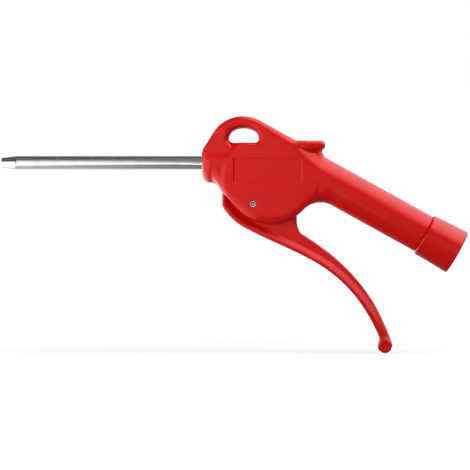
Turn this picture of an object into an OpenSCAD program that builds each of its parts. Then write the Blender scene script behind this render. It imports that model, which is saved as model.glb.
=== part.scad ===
// Compressed-air blow gun with a long straight steel nozzle, a moulded plastic body and a squeeze lever.
// Drawn in millimetres, upright, nozzle towards -X, handle towards +X and down, thickness along Y.
// The origin is the centre of the air inlet's face. Most pieces are first placed in the gun frame,
// whose origin is where the nozzle's axis meets the nose, and moved from there to the inlet.

/* [Body] */
// Thickness of the moulded body between its two flat cheeks
body_t = 24; // [22.5:0.1:26]
// Radius of the round belly that houses the valve
belly_r = 27.2; // [26:0.1:28.5]
// Distance of the belly's centre behind the nose face
belly_x = 41; // [40:0.1:42]
// Distance of the belly's centre below the nozzle's axis
belly_drop = 9.6; // [9:0.1:10.2]
// Radius of the hump that carries the hanging eye
hump_r = 21.3; // [20:0.1:22]
// Distance of the hump's centre behind the nose face
hump_x = 24.7; // [23.5:0.1:25.5]
// Radius of the chin between nose and belly
chin_r = 7.6; // [7:0.1:8.2]
// Distance of the chin's centre inside the belly's rim
chin_in = 4.1; // [3.6:0.1:4.6]
// Angle below level at which the belly's centre sees the chin ahead of it
chin_turn = 9; // [7:0.5:11]
// Radius of the rounded edge round the belly and the chin
belly_edge = 5; // [3:0.1:6]
// Radius of the rounded edge round the hump
hump_edge = 3; // [1.5:0.1:4]
// Radius of the hollow where the belly runs into the handle
throat_r = 14.2; // [13:0.1:15]
// Half thickness of the rib that fills the hollow between belly and handle
throat_half_t = 9; // [8:0.1:10]
// Depth of the bare nameplate recess on each cheek
plate_depth = 0.5; // [0.2:0.1:0.8]
// Length of the nameplate recess
plate_l = 40.8; // [30:0.1:42]
// Height of the nameplate recess
plate_h = 15; // [10:0.1:16]

/* [Nose and nozzle] */
// Radius of the round nose boss
nose_r = 11.9; // [11:0.1:12.2]
// Radius of the nose boss's rounded rim
nose_edge = 5; // [2:0.1:5]
// Outer diameter of the nozzle tube
nozzle_d = 8; // [7:0.1:8.4]
// Wall thickness of the nozzle tube
nozzle_wall = 1; // [0.7:0.05:1.5]
// Length of the nozzle tube outside the body
nozzle_l = 120.3; // [60:0.5:300]
// Outer diameter of the swaged outlet at the tip
outlet_d = 5.8; // [4.8:0.1:6.6]
// Length of the swaged tip
swage_l = 8.7; // [5:0.1:14]
// Outer radius of the gland nut that holds the nozzle in the nose
gland_r = 7; // [6.5:0.1:7.6]
// Length of the gland nut
gland_l = 8.6; // [7:0.1:9]
// Width of the stop ring brazed to the nozzle tube
stop_w = 2.4; // [1.6:0.1:2.6]
// Outer radius of the stop ring
stop_r = 5.4; // [5:0.1:5.8]

/* [Handle and inlet] */
// Downward tilt of the handle
tilt = 29; // [27:0.5:31]
// Diameter of the round handle
handle_d = 23.3; // [22.5:0.1:23.6]
// Length of the handle from beside the belly's centre to the inlet face
handle_l = 119.5; // [105:0.5:140]
// Length of the inlet collar
collar_l = 22.8; // [19:0.1:26]
// Outer radius of the collar at its inner end
collar_r1 = 12.8; // [12.3:0.1:13.4]
// Outer radius of the collar at the inlet face
collar_r2 = 13.7; // [13.2:0.1:14.5]
// Radius of the handle's spigot inside the collar
spigot_r = 9.95; // [9.6:0.05:10.3]
// Radius of the main air duct through the handle
duct_r = 6; // [4.5:0.1:6.4]
// Radius of the narrow duct that feeds the valve chamber
feed_r = 3; // [2:0.1:3.2]
// Core radius of the inlet's G 1/4 thread
thread_r = 5.72; // [5.5:0.01:5.9]
// Outer radius of the threaded inlet insert
insert_r = 8.6; // [8.2:0.1:8.9]
// Length of the insert
insert_l = 15; // [12:0.5:18]
// Radius of the insert's flange
flange_r = 11.5; // [11:0.1:11.8]
// Thickness of the insert's flange
flange_t = 1.6; // [1.2:0.1:2]

/* [Hanging eye] */
// Length of the D-shaped hanging eye
eye_l = 18.8; // [14:0.1:20]
// Height of the hanging eye
eye_h = 9.2; // [8:0.1:9.6]
// Distance of the eye's middle behind the nose face
eye_x = 25.4; // [24.6:0.1:26]
// Height of the eye's straight lower edge above the nozzle's axis
eye_z = 11.9; // [11.5:0.1:12.5]
// Radius of the eye's two lower corners
eye_corner = 3.6; // [2.6:0.1:3.9]
// Radius of the eye's arched upper edge
eye_arch_r = 12.3; // [11:0.1:13]
// Width of the chamfer round both mouths of the eye
eye_chamfer = 2.4; // [0.6:0.1:2.6]

/* [Hand stop] */
// Thickness of the tab that stops the hand sliding forwards
stop_tab_t = 5.4; // [4:0.1:5.8]
// Width of the tab
stop_tab_w = 23; // [20:0.1:23.6]
// Height of the tab's top above the nozzle's axis
stop_tab_z = 13; // [12.4:0.1:13.4]
// Distance of the tab's free end behind the nose face
stop_tab_x = 73.8; // [70:0.1:76]

/* [Lever] */
// Distance of the lever's pivot ahead of the valve's axis
pivot_ahead = 9.5; // [9:0.1:10]
// Distance of the lever's pivot below the slot's roof
pivot_under = 9.86; // [9.4:0.02:10.2]
// Diameter of the pivot pin
pin_d = 4; // [3:0.1:4.4]
// Width of the slot between the cheeks
slot_w = 14; // [13:0.1:14.6]
// Sideways clearance of the lever in its slot, each side
slot_play = 0.4; // [0.3:0.05:0.6]
// Thickness of the lever's web
web_t = 7; // [4:0.1:9]
// Thickness of the flange along the lever's outer edge
lever_flange_t = 2.6; // [1.8:0.1:3.2]
// Horizontal reach from the pivot to the end bead
lever_reach = 79.1; // [74:0.1:84]
// Drop from the pivot to the end bead
lever_drop = 85.2; // [80:0.1:90]
// Radius of the end bead
bead_r = 4; // [3.4:0.1:5]
// Width of the end bead
bead_w = 11; // [8:0.1:13]
// Depth of the lever just above its bead, measured level
neck_w = 6.2; // [5:0.1:7]
// Distance of the lever's outer edge outside the belly
lever_stand_off = 6; // [5.5:0.1:7]
// Radius of the lever's hub
hub_r = 6.5; // [5.5:0.1:6.6]
// Largest squeeze of the lever
squeeze = 14; // [8:0.5:15]

/* [Valve] */
// Distance of the valve's axis behind the nose face
valve_x = 40; // [39.7:0.1:40.3]
// Radius of the bore that takes the valve bush
bush_bore_r = 6.25; // [6.1:0.05:6.4]
// Radius of the valve chamber above the bush
chamber_r = 5.7; // [5.5:0.05:5.8]
// Radius of the valve seat's opening
seat_r = 3; // [2.6:0.1:3.1]
// Radius of the push pin
push_r = 2; // [1.8:0.05:2.1]
// Radius of the poppet's shank
shank_r = 1.4; // [1.2:0.05:1.5]
// Diameter of the valve spring's wire
wire_d = 0.7; // [0.5:0.05:0.8]
// Working turns of the valve spring
spring_turns = 4; // [3:0.5:4.5]
// Diameter of the bush seals' cord
seal_d = 1.44; // [1.3:0.02:1.5]

/* [Hidden] */

// Facets of turned shapes, of hulled discs and of small rings
fn_turned = 96;
fn_hull = 32;
fn_ring = 48;
// Sides of the spring's wire, and its rings in each turn
wire_sides = 8;
wire_rings = 20;
// Points along each curved stretch of the lever's outline
curve_steps = 16;
// Steps of each rounded rim
rim_steps = 4;
// Overrun of every cut past the face that it opens
cut = 1;
// Clearance of a piece that slips into its bore, per side
slip = 0.05;
// Clearance of a pressed or seated piece, per side
seat_fit = 0.02;

red = "#d0201e";
steel = "#b9bdc2";
brass = "#c9a24a";
rubber = "#26262a";
spring_steel = "#8f969c";

// Belly, hump, chin and handle share one straight upper line, which leans by the handle's tilt
handle_r = handle_d / 2;
up_n = [sin(tilt), cos(tilt)];
along = [cos(tilt), -sin(tilt)];
belly = [belly_x, -belly_drop];
chin = belly - (belly_r - chin_in) * [cos(chin_turn), sin(chin_turn)];
upper_line = belly * up_n + belly_r;
hump = [hump_x, (upper_line - hump_r - hump_x * up_n.x) / up_n.y];
handle_foot = belly + (belly_r - handle_r) * up_n;
inlet = handle_foot + handle_l * along;

// The throat's circle touches both the belly and the handle's lower line
throat_fall = belly_r - handle_d - throat_r;
throat_run = sqrt(pow(belly_r + throat_r, 2) - pow(throat_fall, 2));
throat = belly + throat_run * along + throat_fall * up_n;

// The slab at the handle's root starts and becomes round at these distances along the handle,
// where its end sinks a little into the handle
root_start = belly_r * 0.3;
root_l = belly_r * 1.3;
root_sunk = 0.15;

// Slot for the lever: its roof, its rear wall and the slanted front wall behind the nose
slot_roof = -belly_drop - belly_r / 5;
slot_rear = belly_x + belly_r * 0.7;
slot_front = chin.x - chin_r * 0.47;
slot_half = slot_w / 2;
pivot = [valve_x - pivot_ahead, slot_roof - pivot_under];
lever_half = slot_half - slot_play;

// Middle of the nameplate recess, from the belly's centre, as shares of the belly's radius
plate_offset_shares = [-0.0625, 0.158];

// Nozzle socket: gland nut, then the stop ring, then the O-ring, then the tube's end. The tube
// is turned down a little from the nose face inwards.
nozzle_r = nozzle_d / 2;
turned_down = 0.5;
tube_seat_r = nozzle_r - turned_down;
gland_in = 0.4;
ring_in = gland_in + gland_l + slip;
oring_in = ring_in + stop_w + slip;
oring_d = 1.3;
socket_r = stop_r + slip;
socket_end = oring_in + oring_d + slip;
tube_end = socket_end + oring_d;
spanner_w = 1.6;
spanner_deep = 1.2;

// Valve bush and its retaining ring, by height above the slot's roof
circlip_up = 1.5;
circlip_t = 1;
circlip_groove = 0.65;
circlip_w = 2.2;
bore_l = 16.6;
gallery_up = 10;
gallery_w = 3.8;
gallery_deep = 1.35;
seal_low_up = 6.2;
seal_land = 0.49;
shoulder_w = 1.65;
neck_l = 2;
lip_h = 0.6;
lip_w = 0.8;
port_r = 1.6;
passage_r = 1.9;
guide_recess = 0.4;
circlip_z = slot_roof + circlip_up;
bush_z0 = circlip_z + circlip_t + slip;
bush_step = slot_roof + bore_l;
seat_z = bush_step + neck_l;
bush_r = bush_bore_r - slip;
neck_r = bush_bore_r - shoulder_w;
gallery_r = bush_bore_r - gallery_deep;
gallery_z0 = slot_roof + gallery_up;
gallery_z1 = gallery_z0 + gallery_w;
gallery_z = (gallery_z0 + gallery_z1) / 2;
groove_h = seal_d * 1.2;
groove_r = bush_bore_r - seal_d - slip;
seal_ring_r = bush_bore_r - slip / 2 - seal_d / 2;
seal_low_z = slot_roof + seal_low_up;
seal_high_z = gallery_z1 + seal_land + groove_h / 2;
guide_r = push_r + slip;
guide_top = gallery_z0 - guide_recess;

// Poppet, its rubber disc and the spring above it. The lever's pad lifts them by its arm
// about the pivot times the squeeze.
lift = squeeze * PI / 180 * (pivot_ahead + push_r / 4);
seat_gap = 0.05;
disc_t = 1.6;
head_t = 1.6;
head_rim = 0.3;
washer_t = 0.5;
washer_play = 0.6;
lift_spare = 0.7;
pocket_r = 4;
pocket_deep = 3;
spigot_head_r = 2.3;
spigot_stop = 0.35;
disc_r = seat_r + 2 * lip_w;
disc_z = seat_z + seat_gap;
head_r = disc_r + head_rim;
head_z = disc_z + disc_t + seat_gap;
washer_r = seat_r - washer_play;
washer_z = disc_z - washer_t - seat_gap;
chamber_z1 = head_z + head_t + lift + lift_spare;
chamber_top = chamber_z1 + pocket_deep;
spigot_top = chamber_top - lift - spigot_stop;
spring_r = (pocket_r + spigot_head_r) / 2 + 2 * slip;
spring_z0 = head_z + head_t + seat_gap;
spring_z1 = chamber_top - seat_gap;

// Push pin, which sits on the poppet's shank and stands out of the slot's roof
shank_in_pin = 3.2;
push_over = 1;
push_out = 3;
push_oring_up = 4.6;
push_oring_d = 0.76;
push_oring_h = push_oring_d * 1.2;
push_top = gallery_z0 + push_over;
shank_z = push_top - shank_in_pin;
push_z = slot_roof - push_out;
push_oring_z = slot_roof + push_oring_up;
push_ring_r = guide_r - seat_fit - push_oring_d / 2;

// Wide duct ends this far along the handle from its foot, and the feed goes on to the chamber
duct_end = belly_r * 0.66;

// Lever: pad under the push pin, heel inside the slot, knee where the arm leaves the belly, neck and bead
bead = pivot + [lever_reach, -lever_drop];
pad_gap = 0.3;
pad_past = 3.5;
pad_w = 10;
pad_deep = 4;
pad_z = push_z - pad_gap;
pad_x0 = pivot.x;
pad_x1 = valve_x + pad_past;
lever_bore_r = pin_d / 2 + slip;
lever_front_x = chin.x - chin_r * 0.8;
front_end = -118;
outer_neck_a = -66;
outer_pull_shares = [0.36, 0.47];
heel_gap = 3.2;
heel_drop = 9.8;
knee_out = 0.4;
knee_drop = 18.2;
knee_a = -32;
inner_neck_a = -69.9;
inner_pull_shares = [0.384, 0.36];
neck_in = 2.9;
neck_up = 5.8;
// Two corners of the web inside the bead, as shares of its radius
bead_corner_shares = [[-0.6, 0.7], [0.9, 0.3]];

// Spring pin of the pivot, a little below each cheek
pin_sunk = 0.5;
pin_l = body_t - 2 * pin_sunk;
pin_wall = 0.75;
pin_slot = 0.8;

// Collar's rounded rims, and the O-ring behind the insert's thread
collar_rim = 0.8;
collar_nose = 1.2;
insert_seal_d = 1.2;
insert_seal_up = 2.5;
insert_groove_h = insert_seal_d * 1.2;
insert_seal_z = insert_seal_up - insert_l;
insert_ring_r = insert_r - insert_seal_d / 2;

// Points of an arc about c in the XZ plane
function arc(c, r, a0, a1, n = curve_steps) =
    [for (i = [0 : n]) let (a = a0 + (a1 - a0) * i / n) c + r * [cos(a), sin(a)]];
// Points of a cubic curve that leaves p0 towards angle a0 and reaches p3 at angle a3
function curve(p0, p3, a0, a3, l0, l3) =
    let (p1 = p0 + l0 * [cos(a0), sin(a0)], p2 = p3 - l3 * [cos(a3), sin(a3)])
    [for (i = [0 : curve_steps]) let (t = i / curve_steps, u = 1 - t)
        u * u * u * p0 + 3 * u * u * t * p1 + 3 * u * t * t * p2 + t * t * t * p3];
function reverse(v) = [for (i = [len(v) - 1 : -1 : 0]) v[i]];
// All points but the first, for a run that starts where another ends
function rest(v) = [for (i = [1 : len(v) - 1]) v[i]];
// Unit normal on the left of an open run of points at index i
function left_normal(v, i) =
    let (d = v[min(i + 1, len(v) - 1)] - v[max(i - 1, 0)]) [-d.y, d.x] / norm(d);
// The same run of points moved sideways by d
function shifted(v, d) = [for (i = [0 : len(v) - 1]) v[i] + d * left_normal(v, i)];

// Turns a point of the gun frame into the row frame
module in_row() {
    translate([-inlet.x, 0, -inlet.y]) children();
}

// Turns a point of the handle's frame, whose origin is the inlet, into the gun frame
module in_gun() {
    translate([inlet.x, 0, inlet.y]) children();
}

// Round drilling between two points of the XZ plane
module between(a, b, r) {
    d = b - a;
    translate([a.x, 0, a.y]) rotate([0, atan2(d.x, d.y), 0])
        cylinder(h = norm(d), r = r, $fn = fn_turned);
}

// Extrudes an XZ outline to both sides of the middle plane
module plate(half) {
    rotate([90, 0, 0]) linear_extrude(height = 2 * half, center = true) children();
}

// Puts children on the nozzle's axis with +Z pointing into the gun
module on_nozzle(x = 0) {
    translate([x, 0, 0]) rotate([0, 90, 0]) children();
}

// Puts children on the handle's axis with +Z pointing out of the inlet, s in from its face
module on_handle(s = 0) {
    rotate([0, 90 + tilt, 0]) translate([0, 0, -s]) children();
}

// Puts children on the valve's axis at height z
module on_valve(z = 0) {
    translate([valve_x, 0, z]) children();
}

// Puts a cylinder's axis across the gun at a point of the XZ plane
module across(p) {
    translate([p.x, 0, p.y]) rotate([90, 0, 0]) children();
}

// Disc across the gun with rounded rims, as a child of the body's hull
module rimmed_disc(c, r, edge) {
    across(c) rotate_extrude($fn = fn_hull)
        polygon(concat([[0, -body_t / 2]],
                       arc([r - edge, edge - body_t / 2], edge, -90, 0, rim_steps),
                       arc([r - edge, body_t / 2 - edge], edge, 0, 90, rim_steps),
                       [[0, body_t / 2]]));
}

// Ring of round cord
module cord_ring(r, d) {
    rotate_extrude($fn = fn_ring) translate([r, 0]) circle(d = d, $fn = fn_ring / 2);
}

// Outline of the hanging eye, grown by g
module eye_outline(g = 0) {
    half = eye_l / 2;
    mid = eye_z + eye_corner;
    for (side = [-1, 1])
        translate([eye_x + side * (half - eye_corner), mid]) circle(r = eye_corner + g);
    intersection() {
        translate([eye_x, eye_z + eye_h - eye_arch_r]) circle(r = eye_arch_r + g);
        translate([eye_x - half + eye_corner, eye_z - g])
            square([eye_l - 2 * eye_corner, eye_h + 2 * g]);
    }
}

// Rounded slab that runs on into the round handle
module handle_root() {
    slab = handle_foot + root_start * along;
    hull() {
        rimmed_disc(slab, handle_r, belly_edge);
        in_gun() on_handle(handle_l - root_l)
            cylinder(h = belly_edge, r = handle_r - root_sunk, $fn = fn_hull);
    }
}

// Rib that fills the hollow between belly and handle down to a round throat
module throat_rib() {
    plate(throat_half_t) difference() {
        polygon([belly, throat, handle_foot + throat_run * along, handle_foot]);
        translate(throat) circle(r = throat_r, $fn = fn_turned);
    }
}

// Tab on top that stops the hand sliding forwards, with the block that carries it
module hand_stop() {
    tab_r = stop_tab_t / 2;
    mid_z = stop_tab_z - tab_r;
    end_x = stop_tab_x - tab_r;
    block_x = stop_tab_x - stop_tab_t / 3;
    block_half = stop_tab_w / 4;
    plate(stop_tab_w / 2) {
        translate([belly_x + tab_r, stop_tab_z - stop_tab_t])
            square([end_x - belly_x - tab_r, stop_tab_t]);
        translate([end_x, mid_z]) circle(r = tab_r, $fn = fn_ring);
    }
    plate(block_half)
        polygon([[belly_x, mid_z], [block_x, mid_z], [block_x, -tab_r], [belly_x, -tab_r]]);
}

// Nose boss turned about the nozzle's axis
module nose_boss() {
    on_nozzle() rotate_extrude($fn = fn_turned)
        polygon(concat([[0, 0]],
                       arc([nose_r - nose_edge, nose_edge], nose_edge, -90, 0, 3 * rim_steps),
                       [[nose_r, chin.x], [0, chin.x]]));
}

// Solid cylinder on the handle's axis between two distances from the inlet face
module handle_rod(s0, s1, r) {
    in_gun() on_handle(s1) cylinder(h = s1 - s0, r = r, $fn = fn_turned);
}

// Everything that the body's moulding fills
module body_outside() {
    hull() {
        rimmed_disc(belly, belly_r, belly_edge);
        rimmed_disc(hump, hump_r, hump_edge);
        rimmed_disc(chin, chin_r, belly_edge);
    }
    nose_boss();
    handle_root();
    throat_rib();
    hand_stop();
    handle_rod(collar_l, handle_l, handle_r);
    handle_rod(flange_t + slip, collar_l + cut, spigot_r);
}

// Hanging eye with a chamfer round each mouth
module eye_cut() {
    plate(body_t) eye_outline($fn = fn_ring);
    for (side = [-1, 1]) hull() {
        translate([0, side * (body_t / 2 - eye_chamfer), 0]) plate(seat_fit) eye_outline($fn = fn_ring);
        translate([0, side * (body_t / 2 + cut), 0])
            plate(seat_fit) eye_outline(eye_chamfer + cut, $fn = fn_ring);
    }
}

// Stepped socket for the nozzle and the passage that feeds it
module nozzle_cut() {
    on_nozzle(-cut) cylinder(h = cut + ring_in, r = gland_r + seat_fit, $fn = fn_turned);
    on_nozzle() cylinder(h = socket_end, r = socket_r, $fn = fn_turned);
    on_nozzle() cylinder(h = tube_end + slip, r = tube_seat_r + slip, $fn = fn_turned);
    between([tube_end - passage_r, 0], [valve_x - gallery_r, gallery_z], passage_r);
}

// Stepped bore for the valve, open at the slot's roof
module valve_cut() {
    on_valve(slot_roof - cut) cylinder(h = bore_l + cut, r = bush_bore_r, $fn = fn_turned);
    on_valve(circlip_z)
        cylinder(h = circlip_t + seat_fit, r = bush_bore_r + circlip_groove, $fn = fn_turned);
    on_valve() cylinder(h = chamber_z1, r = chamber_r, $fn = fn_turned);
    on_valve() cylinder(h = chamber_top, r = pocket_r, $fn = fn_turned);
}

// Air duct through the handle, from the insert's seat to the valve chamber
module duct_cut() {
    handle_rod(flange_t - cut, flange_t + insert_l, insert_r + seat_fit);
    handle_rod(insert_l, handle_l - duct_end, duct_r);
    between([valve_x + chamber_r / 2, (seat_z + chamber_z1) / 2],
            handle_foot + (duct_end + cut) * along, feed_r);
}

// Slot between the cheeks, open below
module slot_cut() {
    deep = pivot_under + belly_r;
    plate(slot_half)
        polygon([[slot_front, slot_roof], [slot_rear, slot_roof], [slot_rear, slot_roof - deep],
                 [slot_front - deep, slot_roof - deep]]);
}

// Bare nameplate recess on each cheek
module nameplate_cut() {
    c = belly + belly_r * plate_offset_shares;
    for (side = [-1, 1])
        translate([c.x, side * body_t / 2, c.y]) cube([plate_l, 2 * plate_depth, plate_h], center = true);
}

module body() {
    color(red) in_row() difference() {
        body_outside();
        eye_cut();
        nozzle_cut();
        valve_cut();
        duct_cut();
        slot_cut();
        nameplate_cut();
        across(pivot) cylinder(h = 2 * body_t, r = pin_d / 2 + seat_fit, center = true, $fn = fn_turned);
    }
}

module nozzle_tube() {
    tip_r = outlet_d / 2;
    color(steel) in_row() on_nozzle() rotate_extrude($fn = fn_turned)
        polygon([[nozzle_r - nozzle_wall, tube_end], [tube_seat_r, tube_end], [tube_seat_r, 0],
                 [nozzle_r, 0], [nozzle_r, swage_l - nozzle_l],
                 [(nozzle_r + tip_r) / 2 + nozzle_wall / 4, swage_l / 2 - nozzle_l],
                 [tip_r, nozzle_wall / 3 - nozzle_l], [tip_r - nozzle_wall / 3, -nozzle_l],
                 [tip_r - nozzle_wall, -nozzle_l], [nozzle_r - nozzle_wall, swage_l - nozzle_l]]);
}

// Turned rod from z0 up to z1
module rod(z0, z1, r) {
    translate([0, 0, z0]) cylinder(h = z1 - z0, r = r, $fn = fn_turned);
}

// Turned ring from z0 up to z1 between two radii
module ring(z0, z1, r_in, r_out) {
    difference() {
        rod(z0, z1, r_out);
        rod(z0 - cut, z1 + cut, r_in);
    }
}

module nozzle_stop_ring() {
    color(brass) in_row() on_nozzle() ring(ring_in, ring_in + stop_w, tube_seat_r + seat_fit, stop_r);
}

module nozzle_gland_nut() {
    color(brass) in_row() on_nozzle() difference() {
        ring(gland_in, gland_in + gland_l, tube_seat_r + slip, gland_r);
        translate([-gland_r, -spanner_w / 2, 0]) cube([2 * gland_r, spanner_w, gland_in + spanner_deep]);
    }
}

module nozzle_o_ring() {
    color(rubber) in_row() on_nozzle(oring_in + oring_d / 2)
        cord_ring(tube_seat_r + seat_fit + oring_d / 2, oring_d);
}

// Outer edge of the lever, from its front top end down to its bead
function lever_outer() =
    let (r = belly_r + lever_stand_off,
         front = -acos((lever_front_x - belly.x) / r),
         neck = bead + [neck_in - neck_w, neck_up],
         last = belly + r * [cos(front_end), sin(front_end)],
         run = norm(neck - last))
    concat([[lever_front_x, pad_z]],
           arc(belly, r, front, front_end),
           rest(curve(last, neck, front_end + 90, outer_neck_a,
                      outer_pull_shares[0] * run, outer_pull_shares[1] * run)));
// Inner edge of the lever, from inside the slot down to its bead
function lever_inner() =
    let (top = [slot_rear - heel_gap, pivot.y - heel_drop],
         knee = [slot_rear + knee_out, pivot.y - knee_drop],
         neck = bead + [neck_in, neck_up],
         run = norm(neck - knee), bend = norm(knee - top) / 3)
    concat([[top.x, top.y + hub_r / 2]],
           curve(top, knee, -90, knee_a, bend, bend),
           rest(curve(knee, neck, knee_a, inner_neck_a,
                      inner_pull_shares[0] * run, inner_pull_shares[1] * run)));

module lever() {
    outer = lever_outer();
    inner = lever_inner();
    corners = [for (s = bead_corner_shares) bead + bead_r * s];
    color(red) in_row() difference() {
        union() {
            plate(web_t / 2)
                polygon(concat(shifted(outer, lever_flange_t / 2), corners, reverse(inner),
                               [[pad_x1, pad_z]]));
            plate(lever_half) polygon(concat(outer, reverse(shifted(outer, lever_flange_t))));
            plate(pad_w / 2)
                translate([pad_x0, pad_z - pad_deep]) square([pad_x1 - pad_x0, pad_deep]);
            across(pivot) cylinder(h = 2 * lever_half, r = hub_r, center = true, $fn = fn_turned);
            across(bead) cylinder(h = bead_w, r = bead_r, center = true, $fn = fn_ring);
        }
        across(pivot) cylinder(h = body_t, r = lever_bore_r, center = true, $fn = fn_turned);
    }
}

// Slotted spring pin
module lever_pin() {
    color(spring_steel) in_row() across(pivot) difference() {
        ring(-pin_l / 2, pin_l / 2, pin_d / 2 - pin_wall, pin_d / 2);
        translate([0, -pin_slot / 2, -pin_l]) cube([pin_d, pin_slot, 2 * pin_l]);
    }
}

module valve_bush() {
    color(brass) in_row() on_valve() difference() {
        union() {
            rod(bush_z0, bush_step - slip, bush_r);
            rod(bush_z0, seat_z - lip_h, neck_r);
            rod(bush_z0, seat_z, seat_r + lip_w);
        }
        rod(bush_z0 - cut, seat_z + cut, guide_r);
        rod(guide_top, seat_z + cut, seat_r);
        ring(gallery_z0, gallery_z1, gallery_r, bush_bore_r + cut);
        for (z = [seal_low_z, seal_high_z])
            ring(z - groove_h / 2, z + groove_h / 2, groove_r, bush_bore_r + cut);
        for (turn = [0, 90]) translate([0, 0, gallery_z]) rotate([0, 90, turn])
            cylinder(h = 2 * bush_bore_r, r = port_r, center = true, $fn = fn_ring);
    }
}

module bush_seal_upper() {
    color(rubber) in_row() on_valve(seal_high_z) cord_ring(seal_ring_r, seal_d);
}

module bush_seal_lower() {
    color(rubber) in_row() on_valve(seal_low_z) cord_ring(seal_ring_r, seal_d);
}

module bush_circlip() {
    r_out = bush_bore_r + circlip_groove - slip;
    color(spring_steel) in_row() on_valve() difference() {
        ring(circlip_z + seat_fit, circlip_z + circlip_t - seat_fit, r_out - circlip_w, r_out);
        translate([0, -circlip_w / 2, circlip_z - cut]) cube([2 * r_out, circlip_w, circlip_t + 2 * cut]);
    }
}

// Poppet: head with a spring spigot above, and the shank that runs through the seat
module poppet() {
    color(brass) in_row() on_valve() {
        rod(head_z, head_z + head_t, head_r);
        rod(head_z, spigot_top, spigot_head_r);
        rod(shank_z, head_z + head_t / 2, shank_r);
    }
}

module valve_disc() {
    color(rubber) in_row() on_valve() ring(disc_z, disc_z + disc_t, shank_r + slip, disc_r);
}

module disc_washer() {
    color(spring_steel) in_row() on_valve()
        ring(washer_z, washer_z + washer_t, shank_r + seat_fit, washer_r);
}

module push_pin() {
    color(steel) in_row() on_valve() difference() {
        union() {
            rod(push_z + push_r, push_top, push_r);
            translate([0, 0, push_z + push_r]) sphere(r = push_r, $fn = fn_ring);
        }
        rod(shank_z - slip, push_top + cut, shank_r + seat_fit);
        ring(push_oring_z - push_oring_h / 2, push_oring_z + push_oring_h / 2,
             push_ring_r - push_oring_d / 2 - seat_fit, push_r + cut);
    }
}

module push_pin_o_ring() {
    color(rubber) in_row() on_valve(push_oring_z) cord_ring(push_ring_r, push_oring_d);
}

// Coil spring swept as one closed tube of round wire
module valve_spring() {
    sides = wire_sides;
    steps = ceil(spring_turns * wire_rings);
    wire_r = wire_d / 2;
    rise = spring_z1 - spring_z0 - wire_d;
    rings = [for (i = [0 : steps]) let (a = 360 * spring_turns * i / steps)
        for (k = [0 : sides - 1]) let (b = 360 * k / sides, r = spring_r + cos(b) * wire_r)
            [r * cos(a), r * sin(a), spring_z0 + wire_r + rise * i / steps + sin(b) * wire_r]];
    walls = [for (i = [0 : steps - 1]) for (k = [0 : sides - 1])
        let (a = i * sides + k, b = i * sides + (k + 1) % sides) [a, a + sides, b + sides, b]];
    caps = [[for (k = [0 : sides - 1]) k], [for (k = [sides - 1 : -1 : 0]) steps * sides + k]];
    color(spring_steel) in_row() on_valve() polyhedron(points = rings, faces = concat(walls, caps));
}

module inlet_collar() {
    rim = collar_rim;
    color(red) on_handle() rotate_extrude($fn = fn_turned)
        polygon(concat([[flange_r + slip, 0]],
                       arc([collar_r2 - rim, -rim], rim, 90, 0, rim_steps),
                       arc([collar_r1 - collar_nose, collar_nose - collar_l], collar_nose,
                           0, -90, rim_steps),
                       [[spigot_r + slip, -collar_l], [spigot_r + slip, -flange_t - slip],
                        [flange_r + slip, -flange_t - slip]]));
}

module inlet_insert() {
    color(brass) on_handle() difference() {
        union() {
            rod(-flange_t, 0, flange_r);
            rod(-insert_l, 0, insert_r);
        }
        rod(-insert_l - cut, cut, thread_r);
        ring(insert_seal_z - insert_groove_h / 2, insert_seal_z + insert_groove_h / 2,
             insert_ring_r - insert_seal_d / 2 - seat_fit, insert_r + cut);
    }
}

module inlet_o_ring() {
    color(rubber) on_handle() translate([0, 0, insert_seal_z]) cord_ring(insert_ring_r, insert_seal_d);
}

body();
nozzle_tube();
nozzle_stop_ring();
nozzle_gland_nut();
nozzle_o_ring();
lever();
lever_pin();
valve_bush();
bush_seal_upper();
bush_seal_lower();
bush_circlip();
poppet();
valve_disc();
disc_washer();
push_pin();
push_pin_o_ring();
valve_spring();
inlet_collar();
inlet_insert();
inlet_o_ring();
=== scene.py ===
"""Dresses a compressed-air blow gun: moulded body, squeeze lever, chromed nozzle and threaded inlet.

Lengths are in millimetres of the gun frame: X runs from the nozzle's tip towards the handle, level
with the nozzle, Y across the thickness and Z up, and the origin is where the nozzle's axis meets the
nose. A piece is shaped there and its mesh is then moved to the row frame, whose origin is the centre
of the air inlet, in metres. Names that end in _m are in metres of the row frame.
"""
import logging
import math
from dataclasses import dataclass, field
from enum import Enum
from functools import reduce
from typing import Any, Callable, Sequence

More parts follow.
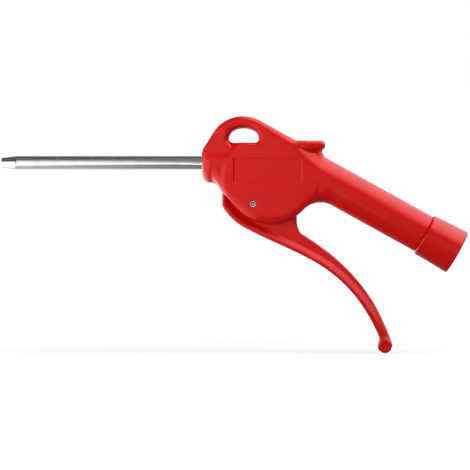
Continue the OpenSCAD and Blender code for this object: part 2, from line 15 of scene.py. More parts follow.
import bpy
import numpy as np
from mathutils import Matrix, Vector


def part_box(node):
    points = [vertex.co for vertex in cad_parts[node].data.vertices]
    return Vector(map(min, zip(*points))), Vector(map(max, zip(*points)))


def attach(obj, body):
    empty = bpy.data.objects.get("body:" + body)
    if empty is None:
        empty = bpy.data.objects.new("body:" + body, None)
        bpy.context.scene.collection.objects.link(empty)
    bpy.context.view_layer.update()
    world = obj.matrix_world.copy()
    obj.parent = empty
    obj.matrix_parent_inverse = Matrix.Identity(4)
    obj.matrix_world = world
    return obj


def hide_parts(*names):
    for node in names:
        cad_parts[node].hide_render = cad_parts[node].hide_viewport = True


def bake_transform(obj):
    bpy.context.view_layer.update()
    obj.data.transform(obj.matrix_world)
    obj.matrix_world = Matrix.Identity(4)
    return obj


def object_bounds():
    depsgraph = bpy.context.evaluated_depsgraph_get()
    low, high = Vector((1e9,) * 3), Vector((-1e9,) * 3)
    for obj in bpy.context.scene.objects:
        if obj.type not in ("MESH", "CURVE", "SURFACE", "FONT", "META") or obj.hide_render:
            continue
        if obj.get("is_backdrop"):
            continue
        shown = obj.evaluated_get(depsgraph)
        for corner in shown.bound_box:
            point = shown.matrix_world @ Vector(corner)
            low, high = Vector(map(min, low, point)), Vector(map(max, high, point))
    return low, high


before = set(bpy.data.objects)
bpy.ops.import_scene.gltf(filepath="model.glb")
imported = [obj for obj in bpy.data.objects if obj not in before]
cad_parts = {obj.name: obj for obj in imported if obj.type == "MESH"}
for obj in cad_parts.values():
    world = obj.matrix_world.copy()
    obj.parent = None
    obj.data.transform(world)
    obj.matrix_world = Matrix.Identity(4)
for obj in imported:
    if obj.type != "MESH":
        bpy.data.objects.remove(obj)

log = logging.getLogger("blow_gun")

Array = np.ndarray
Triple = tuple[float, float, float]
Colour = Triple
Point = tuple[float, float]
Field = Callable[[Array, Array, Array], Array]
GridLine = tuple[tuple[float, ...], tuple[float, ...]]
Grid = tuple[GridLine, GridLine, GridLine]

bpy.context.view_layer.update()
MM = 0.001
TINY = 1e-6
WHITE = (1.0, 1.0, 1.0, 1.0)


class Slot(Enum):
    """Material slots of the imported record."""

    RED_MOULDING = "red_moulding"
    RED_LEVER = "red_lever"
    RED_COLLAR = "red_collar"
    CHROMED_TUBE = "chromed_tube"
    STAINLESS = "stainless_steel"
    SPRING_STEEL = "spring_steel"
    BRASS = "brass"
    RUBBER = "seal_rubber"


class Axis(Enum):
    """Axes that turned pieces are revolved about."""

    NOZZLE = "nozzle"
    HANDLE = "handle"
    PIVOT = "pivot"


def mid(place: Sequence[float]) -> Array:
    """The point of the gun's middle plane at a place along X and Z."""
    return np.array([place[0], 0.0, place[1]])


@dataclass(frozen=True)
class Gun:
    """Sizes that several pieces share, and the places that follow from them.

    Attributes:
        tilt: Downward tilt of the handle, in degrees.
        belly_r: Radius of the round belly that houses the valve.
        belly_x: Distance of the belly's centre behind the nose face.
        belly_drop: Distance of the belly's centre below the nozzle's axis.
        chin_r: Radius of the chin between nose and belly.
        chin_in: Distance of the chin's centre inside the belly's rim.
        chin_turn: Angle below level from the belly's centre to the chin's, in degrees.
        handle_r: Radius of the round handle.
        handle_l: Length of the handle from beside the belly's centre to the inlet face.
        half_t: Half the thickness between the body's two cheeks.
        valve_x: Distance of the valve's axis behind the nose face.
        pivot_ahead: Distance of the lever's pivot ahead of the valve's axis.
        pivot_under: Distance of the lever's pivot below the slot's roof.
        slot_half: Half the width of the lever's slot.
        roof_share: Height of the slot's roof below the belly's centre, as a share of the belly's radius.
        rear_share: Distance of the slot's rear wall behind that centre, as a share of the same.
        nozzle_r: Outer radius of the nozzle tube.
        turned_down: How much the tube's radius shrinks inside the nose.
        gland_in: Distance of the gland nut behind the nose face.
        gland_l: Length of the gland nut.
        stop_w: Width of the stop ring behind the nut.
        ring_d: Cord of the O-ring behind the stop ring.
        slip: Clearance of a piece that slips into its bore.
        seat_fit: Clearance of a seated piece.
        spigot_r: Radius of the handle's spigot inside the collar.
        collar_l: Length of the inlet collar.
        flange_t: Thickness of the inlet insert's flange.
        insert_l: Length of the inlet insert.
        insert_r: Outer radius of the inlet insert.
    """

    tilt: float = 29.0
    belly_r: float = 27.2
    belly_x: float = 41.0
    belly_drop: float = 9.6
    chin_r: float = 7.6
    chin_in: float = 4.1
    chin_turn: float = 9.0
    handle_r: float = 11.65
    handle_l: float = 119.5
    half_t: float = 12.0
    valve_x: float = 40.0
    pivot_ahead: float = 9.5
    pivot_under: float = 9.86
    slot_half: float = 7.0
    roof_share: float = 0.2
    rear_share: float = 0.7
    nozzle_r: float = 4.0
    turned_down: float = 0.5
    gland_in: float = 0.4
    gland_l: float = 8.6
    stop_w: float = 2.4
    ring_d: float = 1.3
    slip: float = 0.05
    seat_fit: float = 0.02
    spigot_r: float = 9.95
    collar_l: float = 22.8
    flange_t: float = 1.6
    insert_l: float = 15.0
    insert_r: float = 8.6

    @property
    def up(self) -> Array:
        """Unit vector square to the handle, upwards in the XZ plane."""
        return np.array([math.sin(math.radians(self.tilt)), math.cos(math.radians(self.tilt))])

    @property
    def along(self) -> Array:
        """Unit vector along the handle, towards the inlet."""
        return np.array([math.cos(math.radians(self.tilt)), -math.sin(math.radians(self.tilt))])

    @property
    def belly(self) -> Array:
        """Centre of the belly."""
        return np.array([self.belly_x, -self.belly_drop])

    @property
    def chin(self) -> Array:
        """Centre of the chin."""
        turn = math.radians(self.chin_turn)
        return self.belly - (self.belly_r - self.chin_in) * np.array([math.cos(turn), math.sin(turn)])

    @property
    def foot(self) -> Array:
        """Start of the handle's axis, beside the belly's centre."""
        return self.belly + (self.belly_r - self.handle_r) * self.up

    @property
    def inlet(self) -> Array:
        """Centre of the air inlet's face, the row frame's origin."""
        return self.foot + self.handle_l * self.along

    @property
    def slot_roof(self) -> float:
        """Height of the lever slot's roof."""
        return -self.belly_drop - self.belly_r * self.roof_share

    @property
    def slot_rear(self) -> float:
        """Place of the lever slot's rear wall."""
        return self.belly_x + self.belly_r * self.rear_share

    @property
    def pivot(self) -> Array:
        """Axis of the lever's pin."""
        return np.array([self.valve_x - self.pivot_ahead, self.slot_roof - self.pivot_under])

    @property
    def tube_seat_r(self) -> float:
        """Radius of the tube inside the nose."""
        return self.nozzle_r - self.turned_down

    @property
    def ring_in(self) -> float:
        """Distance of the stop ring behind the nose face."""
        return self.gland_in + self.gland_l + self.slip

    @property
    def socket_end(self) -> float:
        """Depth of the nozzle's socket."""
        return self.ring_in + self.stop_w + self.slip + self.ring_d + self.slip

    @property
    def tube_end(self) -> float:
        """Distance of the tube's buried end behind the nose face."""
        return self.socket_end + self.ring_d

    def to_row(self, points: Array) -> Array:
        """Moves points from the gun frame to the row frame, in metres."""
        return (points - mid(self.inlet)) * MM

    def on_handle(self, x: Array, z: Array) -> tuple[Array, Array]:
        """Measures places from the handle's foot.

        Args:
            x: Places along X.
            z: Places along Z.

        Returns:
            Distance along the handle from its foot, and height above its axis.
        """
        dx = x - self.foot[0]
        dz = z - self.foot[1]
        return dx * self.along[0] + dz * self.along[1], dx * self.up[0] + dz * self.up[1]

    def basis(self, axis: Axis) -> tuple[Array, Array, Array, Array]:
        """Origin, axis and two cross directions that a turned piece is revolved in.

        Args:
            axis: The nozzle's axis points into the gun, the handle's out of the inlet and the
                pivot's along Y.

        Returns:
            Origin, axis direction and two directions square to it, as points of the gun frame.
        """
        ahead, across, upwards = np.eye(3)
        if axis is Axis.NOZZLE:
            return np.zeros(3), ahead, across, upwards
        if axis is Axis.HANDLE:
            return mid(self.inlet), mid(self.along), across, mid(self.up)
        return mid(self.pivot), across, upwards, ahead


GUN = Gun()


def and_round(a: Array, b: Array, r: Array | float) -> Array:
    """Overlap of two solids, with the edge where they meet rounded by r.

    The distance is the length of the two distances past an inner corner that lies r inside both.
    """
    corner = np.hypot(np.maximum(a + r, 0.0), np.maximum(b + r, 0.0))
    return np.minimum(np.maximum(a, b), -r) + corner


def smooth_union(a: Array, b: Array, width: Array | float) -> Array:
    """Union of two solids that run into each other over a width.

    The lesser distance, less a parabola that is a quarter of the width where both are equal.

    Args:
        a: Distance to one solid.
        b: Distance to the other.
        width: Difference of the two distances over which they blend.

    Returns:
        Distance to both.
    """
    width = np.maximum(width, TINY)
    share = np.clip(0.5 + 0.5 * (b - a) / width, 0.0, 1.0)
    return b + (a - b) * share - width * share * (1.0 - share)


def ease(t: Array) -> Array:
    """Rises from 0 to 1 with level ends: 3 t squared less 2 t cubed."""
    t = np.clip(t, 0.0, 1.0)
    return t * t * (3.0 - 2.0 * t)


def disc(x: Array, z: Array, centre: Sequence[float], r: float) -> Array:
    """Distance to a circle's rim, negative inside."""
    return np.hypot(x - centre[0], z - centre[1]) - r


def disc_pair(x: Array, z: Array, c1: Array, r1: float, c2: Array, r2: float) -> Array:
    """Distance to the outline that a tight band round two discs would take.

    Beside the straight flanks it is the distance to the common tangent, and past them the distance
    to the nearer disc.

    Args:
        x: Places along X.
        z: Places along Z.
        c1: Centre of the first disc.
        r1: Its radius.
        c2: Centre of the second disc.
        r2: Its radius.

    Returns:
        The distance, negative inside the band.
    """
    axis = np.subtract(c2, c1)
    length = float(np.hypot(axis[0], axis[1]))
    ax, az = axis / length
    along = (x - c1[0]) * ax + (z - c1[1]) * az
    aside = np.abs((x - c1[0]) * az - (z - c1[1]) * ax)
    lean = (r1 - r2) / length
    cosine = math.sqrt(1.0 - lean * lean)
    place = along * cosine - aside * lean
    flank = aside * cosine + along * lean - r1
    near = np.hypot(aside, along) - r1
    far = np.hypot(aside, along - length) - r2
    return np.where(place < 0.0, near, np.where(place > cosine * length, far, flank))


def rod(x: Array, y: Array, z: Array, a: Sequence[float], b: Sequence[float], r: float) -> Array:
    """Distance to a round rod in the middle plane, with flat ends.

    Args:
        x: Places along X.
        y: Places along Y.
        z: Places along Z.
        a: Start of its axis.
        b: End of its axis.
        r: Its radius.

    Returns:
        The distance, negative inside the rod.
    """
    axis = np.subtract(b, a)
    length = float(np.hypot(axis[0], axis[1]))
    ax, az = axis / length
    along = (x - a[0]) * ax + (z - a[1]) * az
    aside = (x - a[0]) * az - (z - a[1]) * ax
    return np.maximum(np.hypot(aside, y) - r, np.abs(along - length / 2) - length / 2)


def to_line(x: Array, z: Array, line: Array) -> Array:
    """Distance to an open run of points: the least distance to any of its segments.

    Args:
        x: Places along X.
        z: Places along Z.
        line: The run's points.

    Returns:
        The distance.
    """
    start = line[:-1]
    step = line[1:] - start
    dx = x[..., None] - start[:, 0]
    dz = z[..., None] - start[:, 1]
    t = np.clip((dx * step[:, 0] + dz * step[:, 1]) / (step * step).sum(axis=1), 0.0, 1.0)
    return np.hypot(dx - t * step[:, 0], dz - t * step[:, 1]).min(axis=-1)


def to_polygon(x: Array, z: Array, corners: Array) -> Array:
    """Distance to a closed outline, negative where a ray to the right crosses it an odd number of times.

    Args:
        x: Places along X.
        z: Places along Z.
        corners: The outline's corners, in order.

    Returns:
        The signed distance.
    """
    closed = np.vstack([corners, corners[:1]])
    start, end = closed[:-1], closed[1:]
    px, pz = x[..., None], z[..., None]
    spans = (start[:, 1] > pz) != (end[:, 1] > pz)
    rise = np.where(end[:, 1] == start[:, 1], 1.0, end[:, 1] - start[:, 1])
    crossing = start[:, 0] + (pz - start[:, 1]) * (end[:, 0] - start[:, 0]) / rise
    inside = (spans & (px < crossing)).sum(axis=-1) % 2 == 1
    distance = to_line(x, z, closed)
    return np.where(inside, -distance, distance)


def arc(centre: Sequence[float], r: float, a0: float, a1: float, steps: int) -> Array:
    """Points of a circle's arc between two angles, in degrees."""
    a = np.radians(np.linspace(a0, a1, steps + 1))
    return np.stack([centre[0] + r * np.cos(a), centre[1] + r * np.sin(a)], axis=-1)


def cubic(p0: Array, p3: Array, turns: Point, pulls: Point, steps: int) -> Array:
    """Points of a cubic curve between two points.

    Its two inner control points lie on the end directions, a pull times the distance between the
    ends away from each end.

    Args:
        p0: Start.
        p3: End.
        turns: Directions at the start and at the end, in degrees.
        pulls: The pull at either end.
        steps: Steps along it.

    Returns:
        The points.
    """
    run = float(np.linalg.norm(p3 - p0))
    leave, arrive = (run * pull * np.array([math.cos(math.radians(turn)), math.sin(math.radians(turn))])
                     for turn, pull in zip(turns, pulls))
    p1, p2 = p0 + leave, p3 - arrive
    t = np.linspace(0.0, 1.0, steps + 1)[:, None]
    u = 1.0 - t
    return u ** 3 * p0 + 3 * u * u * t * p1 + 3 * u * t * t * p2 + t ** 3 * p3


def graded(stops: Sequence[float], steps: Sequence[float]) -> Array:
    """Grid places from the first stop to the last, with its own step between each pair of stops."""
    runs = [np.linspace(a, b, max(2, round((b - a) / step) + 1))[:-1]
            for a, b, step in zip(stops[:-1], stops[1:], steps)]
    return np.concatenate(runs + [np.array([stops[-1]])])


def slope(shape: Field, p: Array, h: float = 0.02) -> Array:
    """Gradient of a distance function, by central differences.

    Args:
        shape: The distance function.
        p: Points.
        h: Half the distance between the two values that are compared.

    Returns:
        The gradient at each point.
    """
    parts = []
    for axis in np.eye(3) * h:
        ahead = shape(*(p + axis).T)
        behind = shape(*(p - axis).T)
        parts.append((ahead - behind) / (2 * h))
    return np.stack(parts, axis=-1)


@dataclass
class Skin:
    """A closed surface on its way into a mesh.

    Attributes:
        points: Vertices, in millimetres of the gun frame.
        faces: Four vertex numbers a face.
        normals: A unit normal for each vertex, or None where the mesh works them out.
    """

    points: Array
    faces: Array
    normals: Array | None = None

    def outward(self) -> "Skin":
        """The same surface with its faces turned outwards, which makes the signed volume positive.

        Returns:
            The surface.
        """
        a, b, c, d = (self.points[self.faces[:, k]] for k in range(4))
        volume = (a * np.cross(b, c)).sum() + (a * np.cross(c, d)).sum()
        if volume < 0:
            self.faces = self.faces[:, ::-1]
        return self

    def to_object(self, name: str, sharp: float | None = None) -> bpy.types.Object:
        """Puts the surface into a mesh at its place in the row frame.

        Args:
            name: Name of the object.
            sharp: Angle in degrees from which an edge stays sharp, or None for none.

        Returns:
            The object, which sits at the origin.
        """
        mesh = bpy.data.meshes.new(name)
        mesh.vertices.add(len(self.points))
        mesh.vertices.foreach_set("co", GUN.to_row(self.points).astype(np.float32).ravel())
        mesh.loops.add(self.faces.size)
        mesh.loops.foreach_set("vertex_index", self.faces.astype(np.int32).ravel())
        mesh.polygons.add(len(self.faces))
        mesh.polygons.foreach_set("loop_start", np.arange(0, self.faces.size, 4, dtype=np.int32))
        mesh.polygons.foreach_set("use_smooth", np.ones(len(self.faces), dtype=bool))
        mesh.update(calc_edges=True)
        if self.normals is not None:
            mesh.normals_split_custom_set_from_vertices(self.normals.astype(np.float32))
        if sharp is not None:
            mesh.set_sharp_from_angle(angle=math.radians(sharp))
        piece = bpy.data.objects.new(name, mesh)
        bpy.context.scene.collection.objects.link(piece)
        return piece


def net(shape: Field, grid: Grid, passes: int = 4) -> Skin:
    """Closed surface where a distance function is zero.

    Each grid cell that the surface crosses gets one vertex, at the mean of the crossings on the
    cell's edges, and each crossed grid edge one face between the four cells round it. The vertices
    then slide along the gradient by the distance that is left, until they lie on the surface.

    Args:
        shape: Signed distance, negative inside, of three arrays that broadcast.
        grid: Stops along X, Y and Z, each with the grid's steps between them.
        passes: How often the vertices slide.

    Returns:
        The surface, with the gradient's directions as its normals.
    """
    places = [graded(*line) for line in grid]
    value = shape(*np.meshgrid(*places, indexing="ij", sparse=True))
    value = np.broadcast_to(value, tuple(map(len, places)))
    inside = value < 0
    cells = np.array(value.shape) - 1
    corners, crossings, rings = [], [], []
    for axis in range(3):
        low = [slice(None)] * 3
        high = [slice(None)] * 3
        low[axis] = slice(None, -1)
        high[axis] = slice(1, None)
        at = np.argwhere(inside[tuple(low)] != inside[tuple(high)])
        nxt = at + np.eye(3, dtype=int)[axis]
        v0 = value[tuple(at.T)]
        v1 = value[tuple(nxt.T)]
        point = np.stack([places[k][at[:, k]] for k in range(3)], axis=-1).astype(float)
        step = places[axis][nxt[:, axis]] - places[axis][at[:, axis]]
        point[:, axis] += step * v0 / (v0 - v1)
        u, v = (axis + 1) % 3, (axis + 2) % 3
        ring = []
        for du, dv in ((-1, -1), (0, -1), (0, 0), (-1, 0)):
            cell = at.copy()
            cell[:, u] += du
            cell[:, v] += dv
            ring.append(np.ravel_multi_index(tuple(cell.T), tuple(cells)))
            corners.append(ring[-1])
            crossings.append(point)
        face = np.stack(ring, axis=-1)
        outwards = (v0 < 0)[:, None]
        rings.append(np.where(outwards, face, face[:, ::-1]))
    owner = np.concatenate(corners)
    crossing = np.concatenate(crossings)
    used, owner = np.unique(owner, return_inverse=True)
    count = np.bincount(owner)
    points = np.stack([np.bincount(owner, crossing[:, k]) / count for k in range(3)], axis=-1)
    faces = np.searchsorted(used, np.concatenate(rings))
    reach = 0.5 * min(float(np.diff(axis).min()) for axis in places)
    flattest = 0.25
    for _ in range(passes):
        gradient = slope(shape, points)
        length = np.maximum((gradient ** 2).sum(axis=1), flattest)
        move = shape(*points.T) / length
        points = points - np.clip(move, -reach, reach)[:, None] * gradient
    normals = slope(shape, points)
    normals /= np.maximum(np.linalg.norm(normals, axis=1, keepdims=True), TINY)
    return Skin(points, faces, normals)


def rounded(corners: Sequence[Point], radii: Sequence[float], steps: int = 5) -> tuple[Array, Array]:
    """Closed profile with every corner rounded.

    A corner becomes an arc that touches both of its sides, and takes at most 0.45 of either. Each
    point knows its normal: the arc's own direction, which at its ends is square to the sides.

    Args:
        corners: Places along the axis and distances from it, in order, either way round.
        radii: One radius a corner.
        steps: Steps of each arc.

    Returns:
        Points and outward unit normals.
    """
    loop = np.asarray(corners, float)
    most = 0.45
    before = loop - np.roll(loop, 1, axis=0)
    after = np.roll(loop, -1, axis=0) - loop
    points, normals = [], []
    for corner, d1, d2, r in zip(loop, before, after, radii):
        l1, l2 = np.linalg.norm(d1), np.linalg.norm(d2)
        a1 = math.atan2(-d1[0], d1[1])
        turn = (math.atan2(-d2[0], d2[1]) - a1 + math.pi) % (2 * math.pi) - math.pi
        reach = min(r * math.tan(abs(turn) / 2), most * min(l1, l2))
        radius = reach / max(math.tan(abs(turn) / 2), TINY)
        side = 1.0 if turn > 0 else -1.0
        start = np.array([math.cos(a1), math.sin(a1)])
        centre = corner - d1 / l1 * reach - side * radius * start
        a = a1 + turn * np.linspace(0.0, 1.0, steps + 1)
        normal = np.stack([np.cos(a), np.sin(a)], axis=-1)
        points.append(centre + side * radius * normal)
        normals.append(normal)
    turned = float((loop[:, 0] * np.roll(loop[:, 1], -1) - loop[:, 1] * np.roll(loop[:, 0], -1)).sum())
    return np.concatenate(points), np.concatenate(normals) * math.copysign(1.0, turned)


def grid_faces(rows: int, columns: int, closed_columns: bool = True) -> Array:
    """Faces of a grid whose rows close on themselves, and whose columns may.

    Args:
        rows: Number of rows.
        columns: Number of columns.
        closed_columns: Whether the last column joins the first.

    Returns:
        Four vertex numbers a face, where a vertex's number is its row times the columns, plus its column.
    """
    last = columns if closed_columns else columns - 1
    i, j = np.meshgrid(np.arange(rows), np.arange(last), indexing="ij")
    ni, nj = (i + 1) % rows, (j + 1) % columns
    ring = [i * columns + j, ni * columns + j, ni * columns + nj, i * columns + nj]
    return np.stack(ring, axis=-1).reshape(-1, 4)


def spun(along: Array, away: Array, angle: Array, axis: Axis) -> Array:
    """Points round an axis.

    A point is the origin, plus its place along the axis, plus its radius times the cosine and sine
    of the angle along the two cross directions.

    Args:
        along: Places along the axis, one a row.
        away: Distances from it, one a row or one a point.
        angle: Angles, one a column.
        axis: The axis.

    Returns:
        Points, by row and column.
    """
    origin, direction, e1, e2 = GUN.basis(axis)
    spoke = np.cos(angle)[:, None] * e1 + np.sin(angle)[:, None] * e2
    return origin + along[..., None] * direction + away[..., None] * spoke


def revolve(profile: Array, normals: Array, axis: Axis, sides: int = 96) -> Skin:
    """Carries a closed profile all the way round an axis.

    Args:
        profile: Places along the axis and distances from it.
        normals: The profile's unit normals.
        axis: The axis.
        sides: Steps round it.

    Returns:
        The surface.
    """
    angle = np.linspace(0.0, 2 * math.pi, sides, endpoint=False)
    points, turned = (spun(rows[:, :1], rows[:, 1:], angle, axis) for rows in (profile, normals))
    turned = turned - GUN.basis(axis)[0]
    return Skin(points.reshape(-1, 3), grid_faces(len(profile), sides), turned.reshape(-1, 3)).outward()


def capped(points: Array) -> Skin:
    """Closes a run of equal rings into a solid, with flat strips across its first and last ring.

    Args:
        points: Points by their place in the ring, an even number of them, and by ring.

    Returns:
        The surface.
    """
    rows, columns = points.shape[:2]
    k = np.arange(rows // 2 - 1)
    strip = np.stack([k, k + 1, rows - 2 - k, rows - 1 - k], axis=-1)
    caps = np.vstack([strip[:, ::-1] * columns, strip * columns + columns - 1])
    walls = grid_faces(rows, columns, closed_columns=False)
    return Skin(points.reshape(-1, 3), np.vstack([walls, caps])).outward()


class Value:
    """A number that varies over a surface: a socket on which arithmetic adds Math nodes."""

    def __init__(self, recipe: "Recipe", socket: bpy.types.NodeSocket) -> None:
        """Keeps the socket and the recipe that it belongs to."""
        self.recipe = recipe
        self.socket = socket

    def _math(self, operation: str, a: Any, b: Any = None) -> "Value":
        """Adds a Math node of one or two terms."""
        terms = {0: a} if b is None else {0: a, 1: b}
        return self.recipe.add("ShaderNodeMath", {"operation": operation}, terms)

    def __add__(self, other: Any) -> "Value":
        """This plus the other."""
        return self._math("ADD", self, other)

    def __radd__(self, other: Any) -> "Value":
        """The other plus this."""
        return self._math("ADD", other, self)

    def __sub__(self, other: Any) -> "Value":
        """This less the other."""
        return self._math("SUBTRACT", self, other)

    def __rsub__(self, other: Any) -> "Value":
        """The other less this."""
        return self._math("SUBTRACT", other, self)

    def __mul__(self, other: Any) -> "Value":
        """This times the other."""
        return self._math("MULTIPLY", self, other)

    def __rmul__(self, other: Any) -> "Value":
        """The other times this."""
        return self._math("MULTIPLY", other, self)

    def __truediv__(self, other: Any) -> "Value":
        """This over the other."""
        return self._math("DIVIDE", self, other)

    def __rtruediv__(self, other: Any) -> "Value":
        """The other over this."""
        return self._math("DIVIDE", other, self)

    def __pow__(self, other: Any) -> "Value":
        """This to the power of the other."""
        return self._math("POWER", self, other)

    def __abs__(self) -> "Value":
        """This without its sign."""
        return self._math("ABSOLUTE", self)

    def greatest(self, other: Any) -> "Value":
        """The greater of this and the other."""
        return self._math("MAXIMUM", self, other)

    def least(self, other: Any) -> "Value":
        """The lesser of this and the other."""
        return self._math("MINIMUM", self, other)

    def between(self, start: float, end: float) -> "Value":
        """Goes smoothly from 0 at the start to 1 at the end, which may be the lesser of the two."""
        inputs = {"Value": self, "From Min": start, "From Max": end}
        return self.recipe.add("ShaderNodeMapRange", {"interpolation_type": "SMOOTHSTEP"}, inputs)


class Recipe:
    """The nodes of one material or world."""

    def __init__(self, owner: bpy.types.Material | bpy.types.World) -> None:
        """Empties a node tree and keeps it.

        Args:
            owner: The material or world that holds it.
        """
        owner.use_nodes = True
        self.tree = owner.node_tree
        self.tree.nodes.clear()

    def add(self, kind: str, settings: dict[str, Any] | None = None, inputs: dict[Any, Any] | None = None,
            output: Any = 0) -> Value:
        """Adds a node.

        Args:
            kind: The node's type name.
            settings: Properties that are set before anything else.
            inputs: Numbers, colours or other values, by socket name or number.
            output: Name or number of the output that is given back.

        Returns:
            The output, as a value.
        """
        node = self.tree.nodes.new(kind)
        for key, setting in (settings or {}).items():
            setattr(node, key, setting)
        for key, given in (inputs or {}).items():
            if isinstance(given, Value):
                self.tree.links.new(given.socket, node.inputs[key])
            else:
                node.inputs[key].default_value = given
        return Value(self, node.outputs[output] if len(node.outputs) else None)

    def grey(self, level: Value) -> Value:
        """The grey whose three channels are a level."""
        return self.add("ShaderNodeCombineXYZ", {}, {"X": level, "Y": level, "Z": level})

    def place(self, stretch: Triple = (1.0, 1.0, 1.0)) -> Value:
        """Object coordinates, stretched along each axis."""
        source = self.add("ShaderNodeTexCoord", output="Object")
        return self.add("ShaderNodeMapping", {}, {"Vector": source, "Scale": stretch})

    def noise(self, size_mm: float, detail: float = 2.0, stretch: Triple = (1.0, 1.0, 1.0),
              rough: float = 0.5) -> Value:
        """Cloudy noise whose features are about size_mm across, from 0 to 1."""
        inputs = {"Vector": self.place(stretch), "Scale": 1.0 / (size_mm * MM), "Detail": detail,
                  "Roughness": rough}
        return self.add("ShaderNodeTexNoise", {}, inputs, "Fac")

    def blend(self, share: Value, a: Colour | Value, b: Colour | Value) -> Value:
        """Colour a where share is 0, and b where it is 1."""
        ends = [c if isinstance(c, Value) else (*c, 1.0) for c in (a, b)]
        return self.add("ShaderNodeMix", {"data_type": "RGBA"}, {"Factor": share, 6: ends[0], 7: ends[1]}, 2)

    def bump(self, height: Value, depth_mm: float, normal: Value | None = None) -> Value:
        """Bump of a depth.

        Args:
            height: Height, from 0 to 1.
            depth_mm: What a height of 1 stands for.
            normal: The bump that this one lies on top of, or None.

        Returns:
            The bumped normal.
        """
        inputs = {"Height": height, "Distance": depth_mm * MM, "Strength": 1.0}
        if normal is not None:
            inputs["Normal"] = normal
        return self.add("ShaderNodeBump", {}, inputs)

    def parts(self, vector: Value) -> list[Value]:
        """The three parts of a vector."""
        return [self.add("ShaderNodeSeparateXYZ", {}, {0: vector}, name) for name in ("X", "Y", "Z")]

    def rays(self) -> tuple[Value, Value]:
        """Whether a ray is the camera's, also through glass, and whether it is a reflection."""
        seen, through, glossy = (self.add("ShaderNodeLightPath", output=f"Is {kind} Ray")
                                 for kind in ("Camera", "Transmission", "Glossy"))
        return (seen + through).least(1.0), glossy

    def surface(self, inputs: dict[str, Any]) -> None:
        """Ends the recipe in one Principled surface."""
        shader = self.add("ShaderNodeBsdfPrincipled", {}, inputs)
        self.add("ShaderNodeOutputMaterial", {}, {"Surface": shader})


@dataclass(frozen=True)
class MouldedPlastic:
    """Satin moulded nylon: an even colour with faint clouds, a very fine grain and soft scuffs.

    Attributes:
        name: Name of the material.
        colour: Linear colour of the even parts.
        cloud: Linear colour of the faint clouds.
        gloss: Roughness of the polished parts.
        dull: Roughness of the scuffed parts.
        cloud_size: Size of the clouds.
        cloud_band: Cloud levels between which one colour gives way to the other.
        scuff_size: Size of the scuffs.
        scuff_run: Stretch of the scuffs, which run along X.
        scuff_band: Noise levels between which a scuff fades in.
        scuff_share: Share of the scuffs in the roughness, against the clouds.
        ripple: Size and depth of the moulding's faint ripple.
        grain: Size of the moulding's grain.
        grain_depth: Depth of the grain.
        seam_half: Half width of the line where the two mould halves met, or 0 for none.
        seam_core: Share of that half width in which the line is deepest.
        seam_depth: Depth of that line.
        ior: Refractive index of the surface.
        shine: Specular level of the surface.
    """

    name: str
    colour: Colour
    cloud: Colour
    gloss: float = 0.29
    dull: float = 0.41
    cloud_size: float = 9.0
    cloud_band: Point = (0.35, 0.7)
    scuff_size: float = 2.4
    scuff_run: Triple = (0.35, 1.0, 1.0)
    scuff_band: Point = (0.48, 0.72)
    scuff_share: float = 0.4
    ripple: Point = (5.0, 0.04)
    grain: float = 0.35
    grain_depth: float = 0.006
    seam_half: float = 0.0
    seam_core: float = 0.2
    seam_depth: float = 0.05
    ior: float = 1.5
    shine: float = 0.25

    def build(self) -> bpy.types.Material:
        """Makes the material.

        Returns:
            The material.
        """
        material = bpy.data.materials.new(self.name)
        r = Recipe(material)
        clouds = r.noise(self.cloud_size, detail=3.0)
        scuffs = r.noise(self.scuff_size, detail=4.0, stretch=self.scuff_run, rough=0.65)
        fine = r.noise(self.grain)
        ripple_size, ripple_depth = self.ripple
        normal = r.bump(r.noise(ripple_size, detail=1.0), ripple_depth)
        normal = r.bump(fine, self.grain_depth, normal)
        colour = r.blend(clouds.between(*self.cloud_band), self.colour, self.cloud)
        if self.seam_half > 0:
            _, y, _ = r.parts(r.place())
            seam = (abs(y) / (self.seam_half * MM)).between(1.0, self.seam_core)
            normal = r.bump(seam, self.seam_depth, normal)
        worn = scuffs.between(*self.scuff_band)
        wear = (1.0 - self.scuff_share) * clouds + self.scuff_share * worn
        roughness = self.gloss + (self.dull - self.gloss) * wear
        r.surface({"Base Color": colour, "Roughness": roughness, "Normal": normal, "IOR": self.ior,
                   "Specular IOR Level": self.shine})
        return material


@dataclass(frozen=True)
class DrawnMetal:
    """Metal with fine lines along or round it, and a slight change of tone.

    Attributes:
        name: Name of the material.
        colour: Linear colour of the bright parts.
        tarnish: Linear colour of the duller parts.
        gloss: Roughness of the bright parts.
        dull: Roughness of the duller parts.
        lines: Stretch of the lines along each axis.
        line_size: Width of the lines.
        line_depth: Depth of the lines.
        cloud_size: Size of the changes of tone.
        cloud_band: Noise levels between which the tarnish fades in.
    """

    name: str
    colour: Colour
    tarnish: Colour
    gloss: float = 0.12
    dull: float = 0.25
    lines: Triple = (1.0, 1.0, 1.0)
    line_size: float = 0.3
    line_depth: float = 0.004
    cloud_size: float = 6.0
    cloud_band: Point = (0.4, 0.75)

    def build(self) -> bpy.types.Material:
        """Makes the material.

        Returns:
            The material.
        """
        material = bpy.data.materials.new(self.name)
        r = Recipe(material)
        tone = r.noise(self.cloud_size, detail=3.0)
        lines = r.noise(self.line_size, stretch=self.lines, rough=0.6)
        colour = r.blend(tone.between(*self.cloud_band), self.colour, self.tarnish)
        roughness = self.gloss + (self.dull - self.gloss) * (0.5 * tone + 0.5 * lines)
        normal = r.bump(lines, self.line_depth)
        r.surface({"Base Color": colour, "Metallic": 1.0, "Roughness": roughness, "Normal": normal})
        return material


